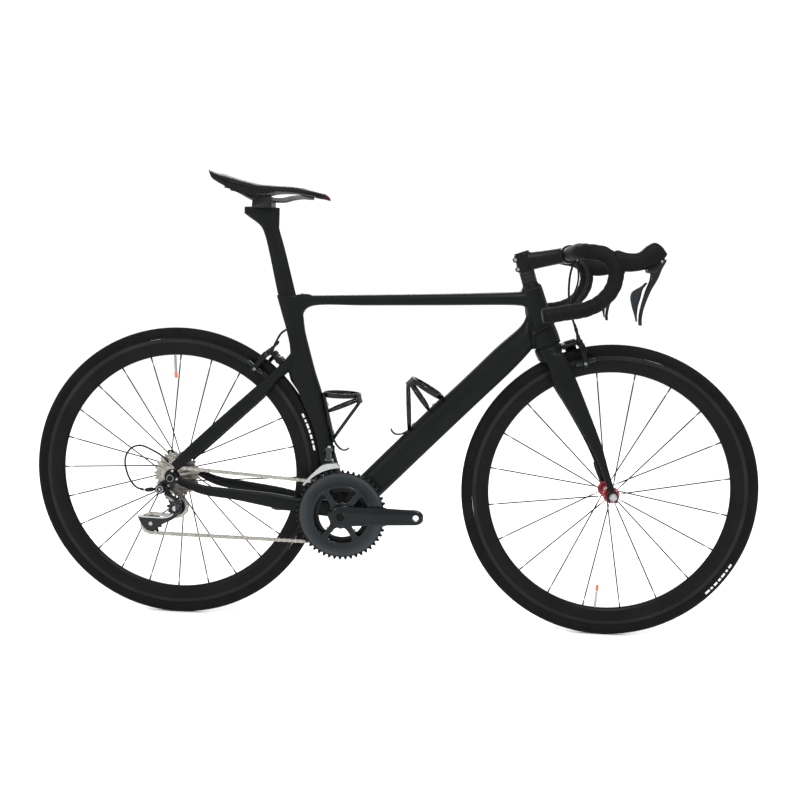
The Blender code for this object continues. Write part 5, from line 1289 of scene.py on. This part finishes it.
def make_cassette():
    cogs = []
    spacing = (-25.2 - SMALL_COG_Y) / (len(CASSETTE_TEETH) - 1)
    for index, teeth in enumerate(CASSETTE_TEETH):
        y = SMALL_COG_Y + index * spacing
        hole = max(17.0, pitch_radius(teeth) - 12.0)
        cogs.append(tooth_ring(REAR_AXLE, teeth, y, 0.8, hole, 64))
        if hole > 18:
            for arm in range(6):
                angle = 60 * arm + 10 * index
                across = square_to(angle) * 3.0
                near = on_circle(REAR_AXLE, 16.0, angle)
                far = on_circle(REAR_AXLE, hole + 1.5, angle)
                cogs.append(crank_plate([near + across, far + across, far - across, near - across], y - 0.7,
                                        y + 0.7))
    piece("cogs", merged(*cogs), NICKEL, "cassette", ["cassette"], sharp=30)
    carrier = turned([(-61, 16.8), (-23, 16.8), (-23, AXLE_RADIUS + 0.9), (-61, AXLE_RADIUS + 0.9)],
                     REAR_AXLE, 48)
    piece("cassette_carrier", carrier, DARK_GREY, "cassette")
    ring = turned([(-60.8, 17.8), (-61.9, 17.4), (-62.5, 14.5), (-62.5, AXLE_RADIUS + 1),
                   (-60.8, AXLE_RADIUS + 1)],
                  REAR_AXLE, 64)
    piece("cassette_lockring", ring, SATIN_BLACK, "cassette", bevel=0.2)


def link_plate(start, end, y_low, y_high, waist):
    """A chain's side plate: round at both pins and narrower between them."""
    along = (end - start).normalized()
    up = Y_AXIS.cross(along)
    reach = (end - start).length
    rounded = [(LINK_RADIUS * math.cos(math.radians(angle)), LINK_RADIUS * math.sin(math.radians(angle)))
               for angle in (90, 60, 30, 0)]
    outline = [(-place, tall) for place, tall in reversed(rounded)]
    outline += [(reach * 0.3, waist), (reach * 0.5, waist * 0.94), (reach * 0.7, waist)]
    outline += [(reach + place, tall) for place, tall in rounded]
    outline += [(place, -tall) for place, tall in reversed(outline[1:-1])]
    return rings_solid([[start + along * place + up * tall + Y_AXIS * y for place, tall in outline]
                        for y in (y_low, y_high)])


def make_chain():
    """Links at the chain's pitch round its whole route: those between the pulleys swing with the cage."""
    route, on_cage = chain_route()
    lengths = [(route[(index + 1) % len(route)] - point).length for index, point in enumerate(route)]
    total = sum(lengths)
    count = 2 * round(total / CHAIN_PITCH / 2)
    places = []
    index = 0
    travelled = 0.0
    for item in range(count):
        while travelled + lengths[index] < item * total / count:
            travelled += lengths[index]
            index += 1
        part = (item * total / count - travelled) / lengths[index]
        places.append((route[index].lerp(route[(index + 1) % len(route)], part), on_cage[index]))
    sets = {"frame": ("chain", [], []), "rear_derailleur_cage": ("cage_chain", [], [])}
    for item, (start, swings) in enumerate(places):
        end, ends_on_cage = places[(item + 1) % count]
        body = "rear_derailleur_cage" if swings and ends_on_cage else "frame"
        _, plates, rollers = sets[body]
        inner, outer, waist = (2.05, 2.95, 3.3) if item % 2 else (1.15, 2.0, 3.6)
        for low, high in ((-outer, -inner), (inner, outer)):
            plates.append(link_plate(start, end, low, high, waist))
        for half, radius, count_round in ((1.15, 3.8, 14), (3.15, 1.7, 12)):
            rollers.append(cross_rod(start, -half, half, radius, count_round))
    for body, (name, plates, rollers) in sets.items():
        piece(name + "_plates", merged(*plates), NICKEL, body, ["chain"] if body == "frame" else (),
              sharp=30)
        piece(name + "_rollers", merged(*rollers), SILVER, body, (), sharp=30)


# ---------------------------------------------------------------- derailleurs


def make_rear_derailleur():
    bolt_place = Vector((-21.0, 0.0, 311.5))
    shapes = [disc([(-88, 10.2), (-87, 11.4), (-73, 11.8), (-71.6, 10.4)], bolt_place, Y_AXIS, 40),
              capsule(OUTER_PIVOT, INNER_PIVOT, LINK_AXIS, 5.2, -9.5, -4.9, 28)]
    corner = OUTER_PIVOT - LINK_AXIS * 7.5
    shapes.append(hull([bolt_place - Y_AXIS * y + Vector((x, 0, z)) for y in (73.5, 87)
                        for x, z in ((-5, 7), (6, 6), (-5, -3))]
                       + [corner + Vector((x, y, z)) for x, y, z in ((1, -3, 4), (1, 3, 3), (-1, 1, -1))]))
    piece("derailleur_body", melted(shapes, 0.7, 7), DARK_GREY, "frame", ["rear_derailleur_mount"],
          sharp=60)
    piece("derailleur_bolt_ring", disc([(-88.2, 8.4), (-89.4, 7.8), (-89.6, 6.0)], bolt_place, Y_AXIS, 40),
          SILVER, "frame", ())
    piece("derailleur_bolt", hex_bolt(bolt_place - Y_AXIS * 88.8, Y_AXIS * -1, 6.2, 2.2, 0.55), SATIN_BLACK,
          "frame")
    exit_point = Vector((-58, -78, 306))
    start = bolt_place + Vector((-5, -79, -1))
    back = (exit_point - start).normalized()
    length = (exit_point - start).length
    barrel = disc([(0, 3.6), (14, 3.4), (14, 4.6), (15, 5.0), (27, 5.0), (28.5, 4.2), (length - 2, 3.2),
                   (length, 2.8)], start, back, 32)
    piece("derailleur_barrel", barrel, SATIN_BLACK, "frame", (), bevel=0.3)
    for name, pivot, grow in (("outer", OUTER_PIVOT, 1.9), ("inner", INNER_PIVOT, 0.4)):
        shapes = [capsule(pivot, pivot + LINK, LINK_AXIS, 4.4 + grow * 0.4, -4.4, 4.4, 28)]
        middle = pivot + LINK * 0.5 - SWING * grow
        shapes.append(capsule(middle - LINK * 0.28, middle + LINK * 0.28, LINK_AXIS, 4.2, -4.2, 4.2, 28))
        rides = f"rear_derailleur_{name}_link"
        piece(f"derailleur_link_{name}", melted(shapes, 0.7, 6), GREY_METAL, rides, [rides],
              sharp=60)
        pins = [disc([(-5.6, 1.6), (-5.4, 2.0), (5.4, 2.0), (5.6, 1.6)], end, LINK_AXIS, 20)
                for end in (pivot, pivot + LINK)]
        piece(f"link_pins_{name}", merged(*pins), SILVER, rides)
    far_outer = OUTER_PIVOT + LINK
    far_inner = INNER_PIVOT + LINK
    shapes = [capsule(far_outer, far_inner, LINK_AXIS, 5.2, 4.9, 9.5, 28),
              disc([(-80, 11.0), (-79, 13.4), (-76, 14.6), (-69, 14.6), (-66.4, 13.6)], GUIDE_PULLEY, Y_AXIS,
                   44)]
    shapes.append(hull([GUIDE_PULLEY + Vector((x, y, z)) for y in (-72.5, -77.5) for x,
                        z in ((8, -6), (0, -9.5))]
                       + [far_inner + LINK_AXIS * place + Vector((1.4, 0, 0)) for place in (5.4, 9)]
                       + [far_outer + LINK_AXIS * place - Vector((1.4, 0, 0)) for place in (5.2, 9)]))
    piece("derailleur_knuckle", melted(shapes, 0.7, 7), GREY_METAL, "rear_derailleur_knuckle",
          ["rear_derailleur_knuckle"], sharp=60)
    cap = disc([(-79.6, 6.6), (-80.8, 6.2), (-81.0, 3.0)], GUIDE_PULLEY, Y_AXIS, 32)
    piece("knuckle_cap", cap, SILVER, "rear_derailleur_knuckle")
    cage = "rear_derailleur_cage"
    wide = [(-30, 15), (-26, 18), (0, 16.5), (30, 17), (46, 24), (52, 36), (51, 46), (56, 52), (66, 50),
            (70, 40), (66, 28), (54, 14), (25, -2), (12, -12), (0, -17.5), (-12, -14), (-24, 1)]
    wide = [TENSION_PULLEY + Vector((x, 0, z)) for x, z in wide]
    strip = [(-29, 15.5), (-26, 18.3), (0, 16.8), (30, 17.2), (47, 23.5), (52.4, 34), (55, 33), (50, 21),
             (32, 13.6), (0, 13.2), (-24, 13.8)]
    strip = [TENSION_PULLEY + Vector((x, 0, z)) for x, z in strip]
    edge = crank_plate(smooth_loop_of(strip), -66.3, -65.3)
    piece("cage_edge_strip", edge, SILVER, cage, (), bevel=0.2)
    plates = []
    for low, high in ((-65.4, -63.9), (-56.1, -54.6)):
        blank = crank_plate(smooth_loop_of(wide), low, high) if low < -60 else cage_outline(low, high)
        window = capsule(GUIDE_PULLEY.lerp(TENSION_PULLEY, 0.34), GUIDE_PULLEY.lerp(TENSION_PULLEY, 0.64),
                         Y_AXIS, 3.8, low - 2, high + 2, 20)
        plates.append(cut(blank, window))
    piece("derailleur_cage_outer", plates[0], GLOSS_BLACK, cage, [cage], bevel=0.35)
    piece("derailleur_cage_inner", plates[1], SATIN_BLACK, cage, (), bevel=0.35)
    bolts = []
    for pulley in (GUIDE_PULLEY, TENSION_PULLEY):
        bolts.append(cross_rod(pulley, -65, -55, 2.9, 20))
        bolts.append(hex_bolt(pulley + Y_AXIS * -53.6, Y_AXIS, 4.2, 2.0))
    bolts.append(hex_bolt(TENSION_PULLEY + Y_AXIS * -65.2, Y_AXIS * -1, 4.4, 2.4))
    piece("pulley_bolts", merged(*bolts), SILVER, cage, ())
    for name, pulley in (("guide_pulley", GUIDE_PULLEY), ("tension_pulley", TENSION_PULLEY)):
        wheel = tooth_ring(pulley, PULLEY_TEETH, SMALL_COG_Y, 1.0, 3.6, 32)
        windows = [cross_rod(on_circle(pulley, 9.6, 72 * index), -70, -50, 2.3, 20) for index in range(5)]
        piece(name + "_wheel", cut(wheel, *windows), PLASTIC, name, [name], sharp=30)
        seal = turned([(-61.8, 3.7), (-61.8, 6.2), (-58.2, 6.2), (-58.2, 3.7)], pulley, 40)
        piece(name + "_seal", seal, DARK_GREY, name, bevel=0.3)


def cage_outline(low, high):
    """The cage's side plate: round at each pulley and drawn in between them."""
    along = (TENSION_PULLEY - GUIDE_PULLEY).normalized()
    up = Y_AXIS.cross(along)
    length = (TENSION_PULLEY - GUIDE_PULLEY).length
    half = [(-9.0, 0.0), (-6.4, 6.4), (0, 9.0), (12, 8.0), (length * 0.5, 6.6), (length - 12, 8.0),
            (length, 9.0), (length + 6.4, 6.4), (length + 9.0, 0.0)]
    outline = half + [(place, -tall) for place, tall in reversed(half[1:-1])]
    points = [GUIDE_PULLEY + along * place + up * tall for place, tall in smooth_loop(outline, 5)]
    return crank_plate(points, low, high)


def make_front_derailleur():
    mount = hull([Vector((x, y, z)) for x in (340, 364)
                  for y, z in ((-19, 405), (-21.5, 418), (-29, 415), (-31, 405), (-21, 397))])
    mount = cut(mount, box((345.4, -40, 388), (358.6, -22.5, 424)))
    seat_tube = edge_loft([((313, 430), (354, 430), 0, 20 + GAP), ((324, 380), (368, 380), 0, 21 + GAP)], 44,
                          2.4)
    piece("front_derailleur_body", cut(mount, seat_tube), SATIN_BLACK, "frame", ["front_derailleur_mount"],
          bevel=1.2, segments=3)
    piece("front_derailleur_bolt", hex_bolt(Vector((352, -29.6, 414)), Y_AXIS * -1, 4.2, 2.6), SILVER,
          "frame")
    link = capsule(FRONT_LINK_PIVOT, FRONT_CAGE_PIVOT, X_AXIS, 4.8, -6.0, 6.0, 32)
    piece("front_derailleur_swing", link, GREY_METAL, "front_derailleur_link", ["front_derailleur_link"],
          bevel=0.8)
    pins = [disc([(-7.4, 1.6), (-7.2, 2.0), (7.2, 2.0), (7.4, 1.6)], pivot, X_AXIS, 20)
            for pivot in (FRONT_LINK_PIVOT, FRONT_CAGE_PIVOT)]
    piece("front_derailleur_pins", merged(*pins), SILVER, "front_derailleur_link")
    plates = []
    upper = spline_rows([(94, 112.5), (97, 117.0), (104, 120.5), (113, 121.0), (120.5, 116.8), (128, 114.0),
                         (136, 112.6), (144, 112.2)], 5)
    for low, high in ((-35.2, -34.0), (-47.2, -46.0)):
        rings = []
        for angle, radius in upper:
            flare = 1.4 * max(0.0, (angle - 128) / 16) ** 2 if low < -40 else 0.0
            rings.append([on_circle(CRANK_CENTRE, reach, angle) + Y_AXIS * (y - flare)
                          for reach, y in ((107.6, low), (radius, low), (radius, high), (107.6, high))])
        plates.append(rings_solid(rings))
    for radius, angle in ((116.0, 98.5), (111.0, 126.0)):
        plates.append(cross_rod(on_circle(CRANK_CENTRE, radius, angle), -46.8, -34.6, 2.2, 20))
    ear = hull([FRONT_CAGE_PIVOT + Vector((x, y, z)) for x in (7.8, 10.5) for y,
                z in ((-4, 3), (4, 3), (4, -5))]
               + [Vector((x, y, z)) for x, z in ((359.6, 372), (364, 372)) for y in (-35.0, -34.2)])
    piece("front_derailleur_guide", merged(*plates, ear), SILVER, "front_derailleur_cage",
          ["front_derailleur_cage"], bevel=0.3)


# ---------------------------------------------------------------- saddle


# Each station is (x, top, the padding's lower edge, the base's lower edge, half width), back to nose.
SADDLE_ROWS = [(68.5, 1027, 1023, 1021, 40), (72, 1026.5, 1017, 1014, 47), (80, 1024.6, 1008, 1003.5, 57),
               (94, 1020.5, 1001, 995, 65), (108, 1016.5, 994, 988, 70), (122, 1012.5, 990, 981, 70.5),
               (142, 1007, 986, 973, 65), (165, 1001.5, 983, 971, 55), (180, 998.7, 982.5, 974.5, 48),
               (212, 997.2, 984.5, 981.5, 35), (254, 996, 984.5, 982, 25), (292, 991.3, 980.5, 977, 21),
               (308, 988.3, 978, 973.5, 19.5), (320, 985.2, 975.5, 972, 17.5), (330, 978.5, 971.5, 969.5, 13),
               (334.5, 973, 970, 969, 7.5)]


def saddle_shell_rings(rows, grow, underside):
    """Cross sections of the padded top: a low crown with a shallow middle channel and rounded edges."""
    rings = []
    for x, top, bottom, _, half_width in rows:
        ring = []
        channel = 2.6 * math.exp(-((x - 175) / 75) ** 2)
        for index in range(SADDLE_STEPS + 1):
            angle = math.pi * index / SADDLE_STEPS
            across = math.cos(angle)
            up = math.sin(angle) ** 0.62
            dip = channel * math.exp(-(across / 0.2) ** 2)
            ring.append(Vector((x, (half_width + grow) * across, bottom + (top - bottom + grow) * up - dip)))
        ring += [Vector((x, (half_width + grow) * share, bottom - underside)) for share in (-0.8, 0, 0.8)]
        rings.append(ring)
    return rings


def inflated(mesh, cap):
    """The padding under its cover: cloth simulation with air inside, its moves capped, then one
    subdivision."""
    start = evaluated(mesh, ("REMESH", {"mode": "VOXEL", "voxel_size": 4.0 * MM}))
    rest = [vert.co.copy() for vert in start.vertices]
    item = bpy.data.objects.new("padding", start)
    bpy.context.scene.collection.objects.link(item)
    cloth = item.modifiers.new("cloth", "CLOTH")
    for key, value in (("quality", 6), ("mass", 0.2), ("tension_stiffness", 30),
                       ("compression_stiffness", 30),
                       ("bending_stiffness", 4), ("use_pressure", True), ("uniform_pressure_force", 4)):
        setattr(cloth.settings, key, value)
    cloth.settings.effector_weights.gravity = 0
    cloth.point_cache.frame_start = 1
    cloth.point_cache.frame_end = CLOTH_STEPS
    for step in range(1, CLOTH_STEPS + 1):
        bpy.context.scene.frame_set(step)
        bpy.context.evaluated_depsgraph_get().update()
    graph = bpy.context.evaluated_depsgraph_get()
    moved = item.evaluated_get(graph).to_mesh()
    for index, vert in enumerate(moved.vertices):
        move = vert.co - rest[index]
        if move.length > cap:
            move = move * (cap / move.length)
        rest[index] = rest[index] + move
    item.evaluated_get(graph).to_mesh_clear()
    item.modifiers.clear()
    for vert, place in zip(start.vertices, rest):
        vert.co = place
    bpy.context.scene.frame_set(1)
    bpy.data.objects.remove(item)
    return evaluated(start, ("SMOOTH", {"factor": 0.5, "iterations": 4}),
                     ("SUBSURF", {"levels": 1, "render_levels": 1}))


def make_saddle():
    rows = spline_rows(SADDLE_ROWS, 5)
    cover = to_mesh(rings_solid(saddle_shell_rings(rows, -0.8, -1.5)))
    cover.transform(Matrix.Scale(MM, 4))
    cover = inflated(cover, 1.2 * MM)
    cover.transform(Matrix.Scale(1 / MM, 4))
    cushion = piece("saddle_padding", cover, SADDLE, "frame", ["saddle_cover"], sharp=70)
    skirt = []
    for x, _, seam, low, wide in rows:
        half = [(wide * 0.992, seam + 3.5), (wide * 1.0, (seam + low) / 2), (wide * 0.955, low),
                (wide * 0.955 - 2.4, low + 0.3), (wide * 0.9 - 3.0, seam - 2.2), (wide * 0.4, seam - 2.4)]
        inner = [(wide * 0.5, seam + 0.4), (wide * 0.9, seam + 1.4)]
        ring = [Vector((x, y, z)) for y, z in half]
        ring += [Vector((x, -y, z)) for y, z in reversed(half)]
        ring += [Vector((x, -y, z)) for y, z in reversed(inner)]
        ring += [Vector((x, y, z)) for y, z in inner]
        skirt.append(ring)
    piece("saddle_base", rings_solid(skirt), PLASTIC, "frame", ["saddle_shell"], sharp=40)
    nose = [(x, top + 0.4, bottom, low, wide + 0.5) for x, top, bottom, low, wide in rows if x > 320]
    piece("saddle_nose_badge", rings_solid(saddle_shell_rings(nose, 0.0, -0.5)), NOSE_RED, "frame", sharp=60)
    path = smooth_path(rail_path(), 4.0)
    piece("rail_pair", tube(path, [RAIL_RADIUS] * len(path), 24), RAIL, "frame", ["saddle_rails"],
          sharp=60)


def rail_path():
    """The saddle's two rails as one path, from the left one's back end round the nose to the right one's."""
    half = [(102, 30, 990), (118, 27, 987), (137, 23.5, 978), (152, 21.5, 970), (166, 21, 965.5),
            (206, 21, 965.5),
            (230, 20, 966), (252, 17, 971.5), (272, 13, 974), (290, 7, 972.5), (296, 0, 972)]
    return [Vector(point) for point in half] + [Vector((x, -y, z)) for x, y, z in reversed(half[:-1])]


# ---------------------------------------------------------------- bottle cages and cables

CAGE_PLACES = ((Vector((344.6, 0, 477)), Vector((-0.237, 0, 0.9715)), Vector((0.9715, 0, 0.237))),
               (Vector((566, 0, 492.5)), Vector((0.69, 0, 0.7238)), Vector((-0.7238, 0, 0.69))))


def make_cage(name, foot, up, out):
    """A moulded cage: three leaning hoops round the bottle, a strip along the tube and a foot with a lip."""
    bottle_out = 43.0
    radius = 39.8

    def at(side, height, outwards):
        return foot + Y_AXIS * side + up * height + out * outwards

    def hoop(rear, front, tall_rear, tall_front, thick):
        """A closed band round the bottle, which leans from its height at the tube to its height in front."""
        rings = []
        count = 72
        for index in range(count):
            angle = 2 * math.pi * index / count
            share = (1 - math.cos(angle)) / 2
            height = rear + (front - rear) * share
            tall = tall_rear + (tall_front - tall_rear) * share
            side = math.sin(angle)
            depth = -math.cos(angle)
            ring = []
            for corner in range(12):
                turn = 2 * math.pi * corner / 12
                reach = radius - 0.4 + thick / 2 * signed_power(math.cos(turn), 0.7)
                lift = tall / 2 * signed_power(math.sin(turn), 0.7)
                ring.append(at(side * reach, height + lift, bottle_out + depth * reach))
            rings.append(ring)
        return rings_solid(rings, looped=True)

    def bar(points, wide, thick, count=16):
        path = smooth_path([at(*point) for point in points], 4.0)
        rings = [oval(point, Y_AXIS, along, wide, thick, count, 3)
                 for point, along in [(point, front if abs(side.y) > 0.5 else side)
                                      for point, side, front in frames_along(path, Y_AXIS)]]
        return rings_solid(rings)

    shapes = [hoop(57, 38, 13, 11, 3.6), hoop(17, 30, 7.5, 7.5, 3.4), hoop(-46, 26, 11, 10, 3.6)]
    shapes.append(bar([(0, -56, 1.6), (0, -30, 1.2), (0, 0, 1.2), (0, 30, 1.2), (0, 61, 1.8)], 10, 3.6))
    shapes.append(bar([(0, -52, 2.8), (0, -60, 4.2), (0, -70, 8.8), (0, -77, 15), (0, -79.6, 24),
                       (0, -77, 33)],
                      9, 2.2))
    shapes.append(bar([(0, 20.5, bottle_out + radius + 0.2), (0, 32, bottle_out + radius - 0.2),
                       (0, 43, bottle_out + radius + 0.2)], 10, 2.2))
    mesh = melted(shapes, 0.9, 5)
    piece(name + "_moulding", mesh, GLOSS_BLACK, "frame", [name], sharp=60)
    bolts = [hex_bolt(at(0, height, 4.4), out, 4.2, 2.4) for height in BOSS_HEIGHTS]
    piece(name + "_bolts", merged(*bolts), SILVER, "frame", ())


def cable(name, node, body, radius, points, ferrules=("end",), bends=False):
    """A housing on its smooth route, with ferrules where its ends are seen. If it bends, the housing
    rides on no body, and its place is baked into its points."""
    path = smooth_path([Vector(point) for point in points], 3.0)
    housing = piece(name, tube(path, [radius] * len(path), 20), HOUSING, None if bends else body, [node],
                    sharp=60)
    if bends:
        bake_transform(housing)
    for index, at_end in enumerate(ferrules):
        foot, after = (path[0], path[2]) if at_end == "start" else (path[-1], path[-3])
        cap = disc([(-1.0, radius * 0.7), (-0.6, radius + 0.7), (7.0, radius + 0.7), (8.0, radius + 0.1)],
                   foot, (after - foot).normalized(), 24)
        piece(f"{name}_ferrule_{index}", cap, SATIN_BLACK, body, (), bevel=0.15)


def make_cables():
    cable("front_brake_housing", "front_brake_cable", "steering", BRAKE_HOUSING_RADIUS,
          [(884, -34, 855), (876, -34, 838), (872, -33.5, 812), (873, -32, 775), (881, -30.5, 735),
           (891.6, -29.5, 708)])
    cable("rear_brake_hose", "rear_brake_housing", "frame", BRAKE_HOUSING_RADIUS,
          [(886, -48, 858), (904, -52, 838), (908, -52, 806), (892, -47, 768), (862, -38, 733),
           (826, -31, 706), (798, -27.5, 690)], bends=True)
    cable("shift_hose_left", "gear_housing", "frame", GEAR_HOUSING_RADIUS,
          [(888, 56, 860), (902, 60, 838), (902, 58, 802), (884, 50, 762), (852, 40, 728), (820, 32, 704),
           (794, 27.5, 688)], bends=True)
    cable("derailleur_hose", "derailleur_cable", "frame", GEAR_HOUSING_RADIUS,
          [(-6, -74.2, 372), (-17, -77, 384), (-40, -79, 398), (-68, -80, 408), (-92, -80, 398),
           (-103, -79.5, 372), (-96, -79, 338), (-80, -78.5, 314), (-61, -78.2, 306.6)], ("start", "end"))
    cable("rear_brake_hose_end", "rear_brake_cable", "frame", BRAKE_HOUSING_RADIUS,
          [(241, 0, 676), (230, 6, 668), (220, 14, 654), (213, 20, 640)])


# ---------------------------------------------------------------- floor, light and camera


def make_stage():
    floor_material = look("studio_floor", (0.93, 0.93, 0.93), (0.94, 0.94, 0.94), 0.9, 0.03, patches=2.0,
                          scale=300.0, bump=0.02, depth=0.05)
    mesh = bpy.data.meshes.new("studio_floor")
    reach = 30.0
    mesh.from_pydata([(-reach, -reach, 0), (reach, -reach, 0), (reach, reach, 0), (-reach, reach, 0)], [],
                     [(0, 1, 2, 3)])
    mesh.materials.append(floor_material)
    floor = bpy.data.objects.new("studio_floor", mesh)
    bpy.context.scene.collection.objects.link(floor)
    world = bpy.data.worlds.new("studio")
    world.use_nodes = True
    background = world.node_tree.nodes["Background"]
    background.inputs["Color"].default_value = (1.0, 1.0, 1.0, 1.0)
    background.inputs["Strength"].default_value = 1.12
    bpy.context.scene.world = world
    bpy.context.scene.view_settings.view_transform = "Standard"
    for name, place, size, power in (("key", (0.9, -2.4, 3.4), 1.0, 110.0),
                                     ("fill", (-2.8, -2.4, 1.6), 1.0, 25.0),
                                     ("back", (-0.4, 2.6, 2.6), 1.6, 60.0)):
        data = bpy.data.lights.new(name, "AREA")
        data.shape = "DISK"
        data.size = size
        data.energy = power
        light = bpy.data.objects.new(name, data)
        light.location = place
        light.rotation_euler = (Vector((0.0, 0.0, 0.5)) - light.location).to_track_quat("-Z", "Y").to_euler()
        bpy.context.scene.collection.objects.link(light)


def make_camera():
    """Looking at the chain side from a little above the hubs, turned a little to the bicycle's front."""
    azimuth, elevation, roll = 0.0475, 0.1143, 0.0372
    view = Vector((-math.sin(azimuth) * math.cos(elevation), math.cos(azimuth) * math.cos(elevation),
                   -math.sin(elevation)))
    right = view.cross(Z_AXIS).normalized()
    up = right.cross(view)
    right, up = right * math.cos(roll) + up * math.sin(roll), up * math.cos(roll) - right * math.sin(roll)
    camera = bpy.data.objects.new("camera", bpy.data.cameras.new("camera"))
    camera.data.sensor_width = 36.0
    camera.data.lens = 41.63
    camera.data.clip_end = 100.0
    place = Vector((0.6074, -2.0998, 0.7675)) + UNDER_REAR_AXLE * MM
    camera.matrix_world = Matrix(((right.x, up.x, -view.x, place.x), (right.y, up.y, -view.y, place.y),
                                  (right.z, up.z, -view.z, place.z), (0, 0, 0, 1)))
    bpy.context.scene.collection.objects.link(camera)
    bpy.context.scene.camera = camera


# ---------------------------------------------------------------- assembly

make_wheel("front", FRONT_AXLE, -93.0, (-36.0,))
make_wheel("rear", REAR_AXLE, 93.0, (20.0,))
make_hubs()
make_skewers()
make_frame()
make_seatpost()
make_fork()
make_stem()
make_bar()
make_controls("left", 1)
make_controls("right", -1)
make_brake("front", FRONT_BRAKE, -60, -13.0, "steering")
make_brake("rear", REAR_BRAKE, -10, 2.6, "frame")
make_cranks()
make_chainrings()
make_cassette()
make_chain()
make_rear_derailleur()
make_front_derailleur()
make_saddle()
make_cage("bottle_cage_seat_tube", *CAGE_PLACES[0])
make_cage("bottle_cage_down_tube", *CAGE_PLACES[1])
make_cables()
repaint("headset_lower_bearing", SILVER)
make_stage()
make_camera()
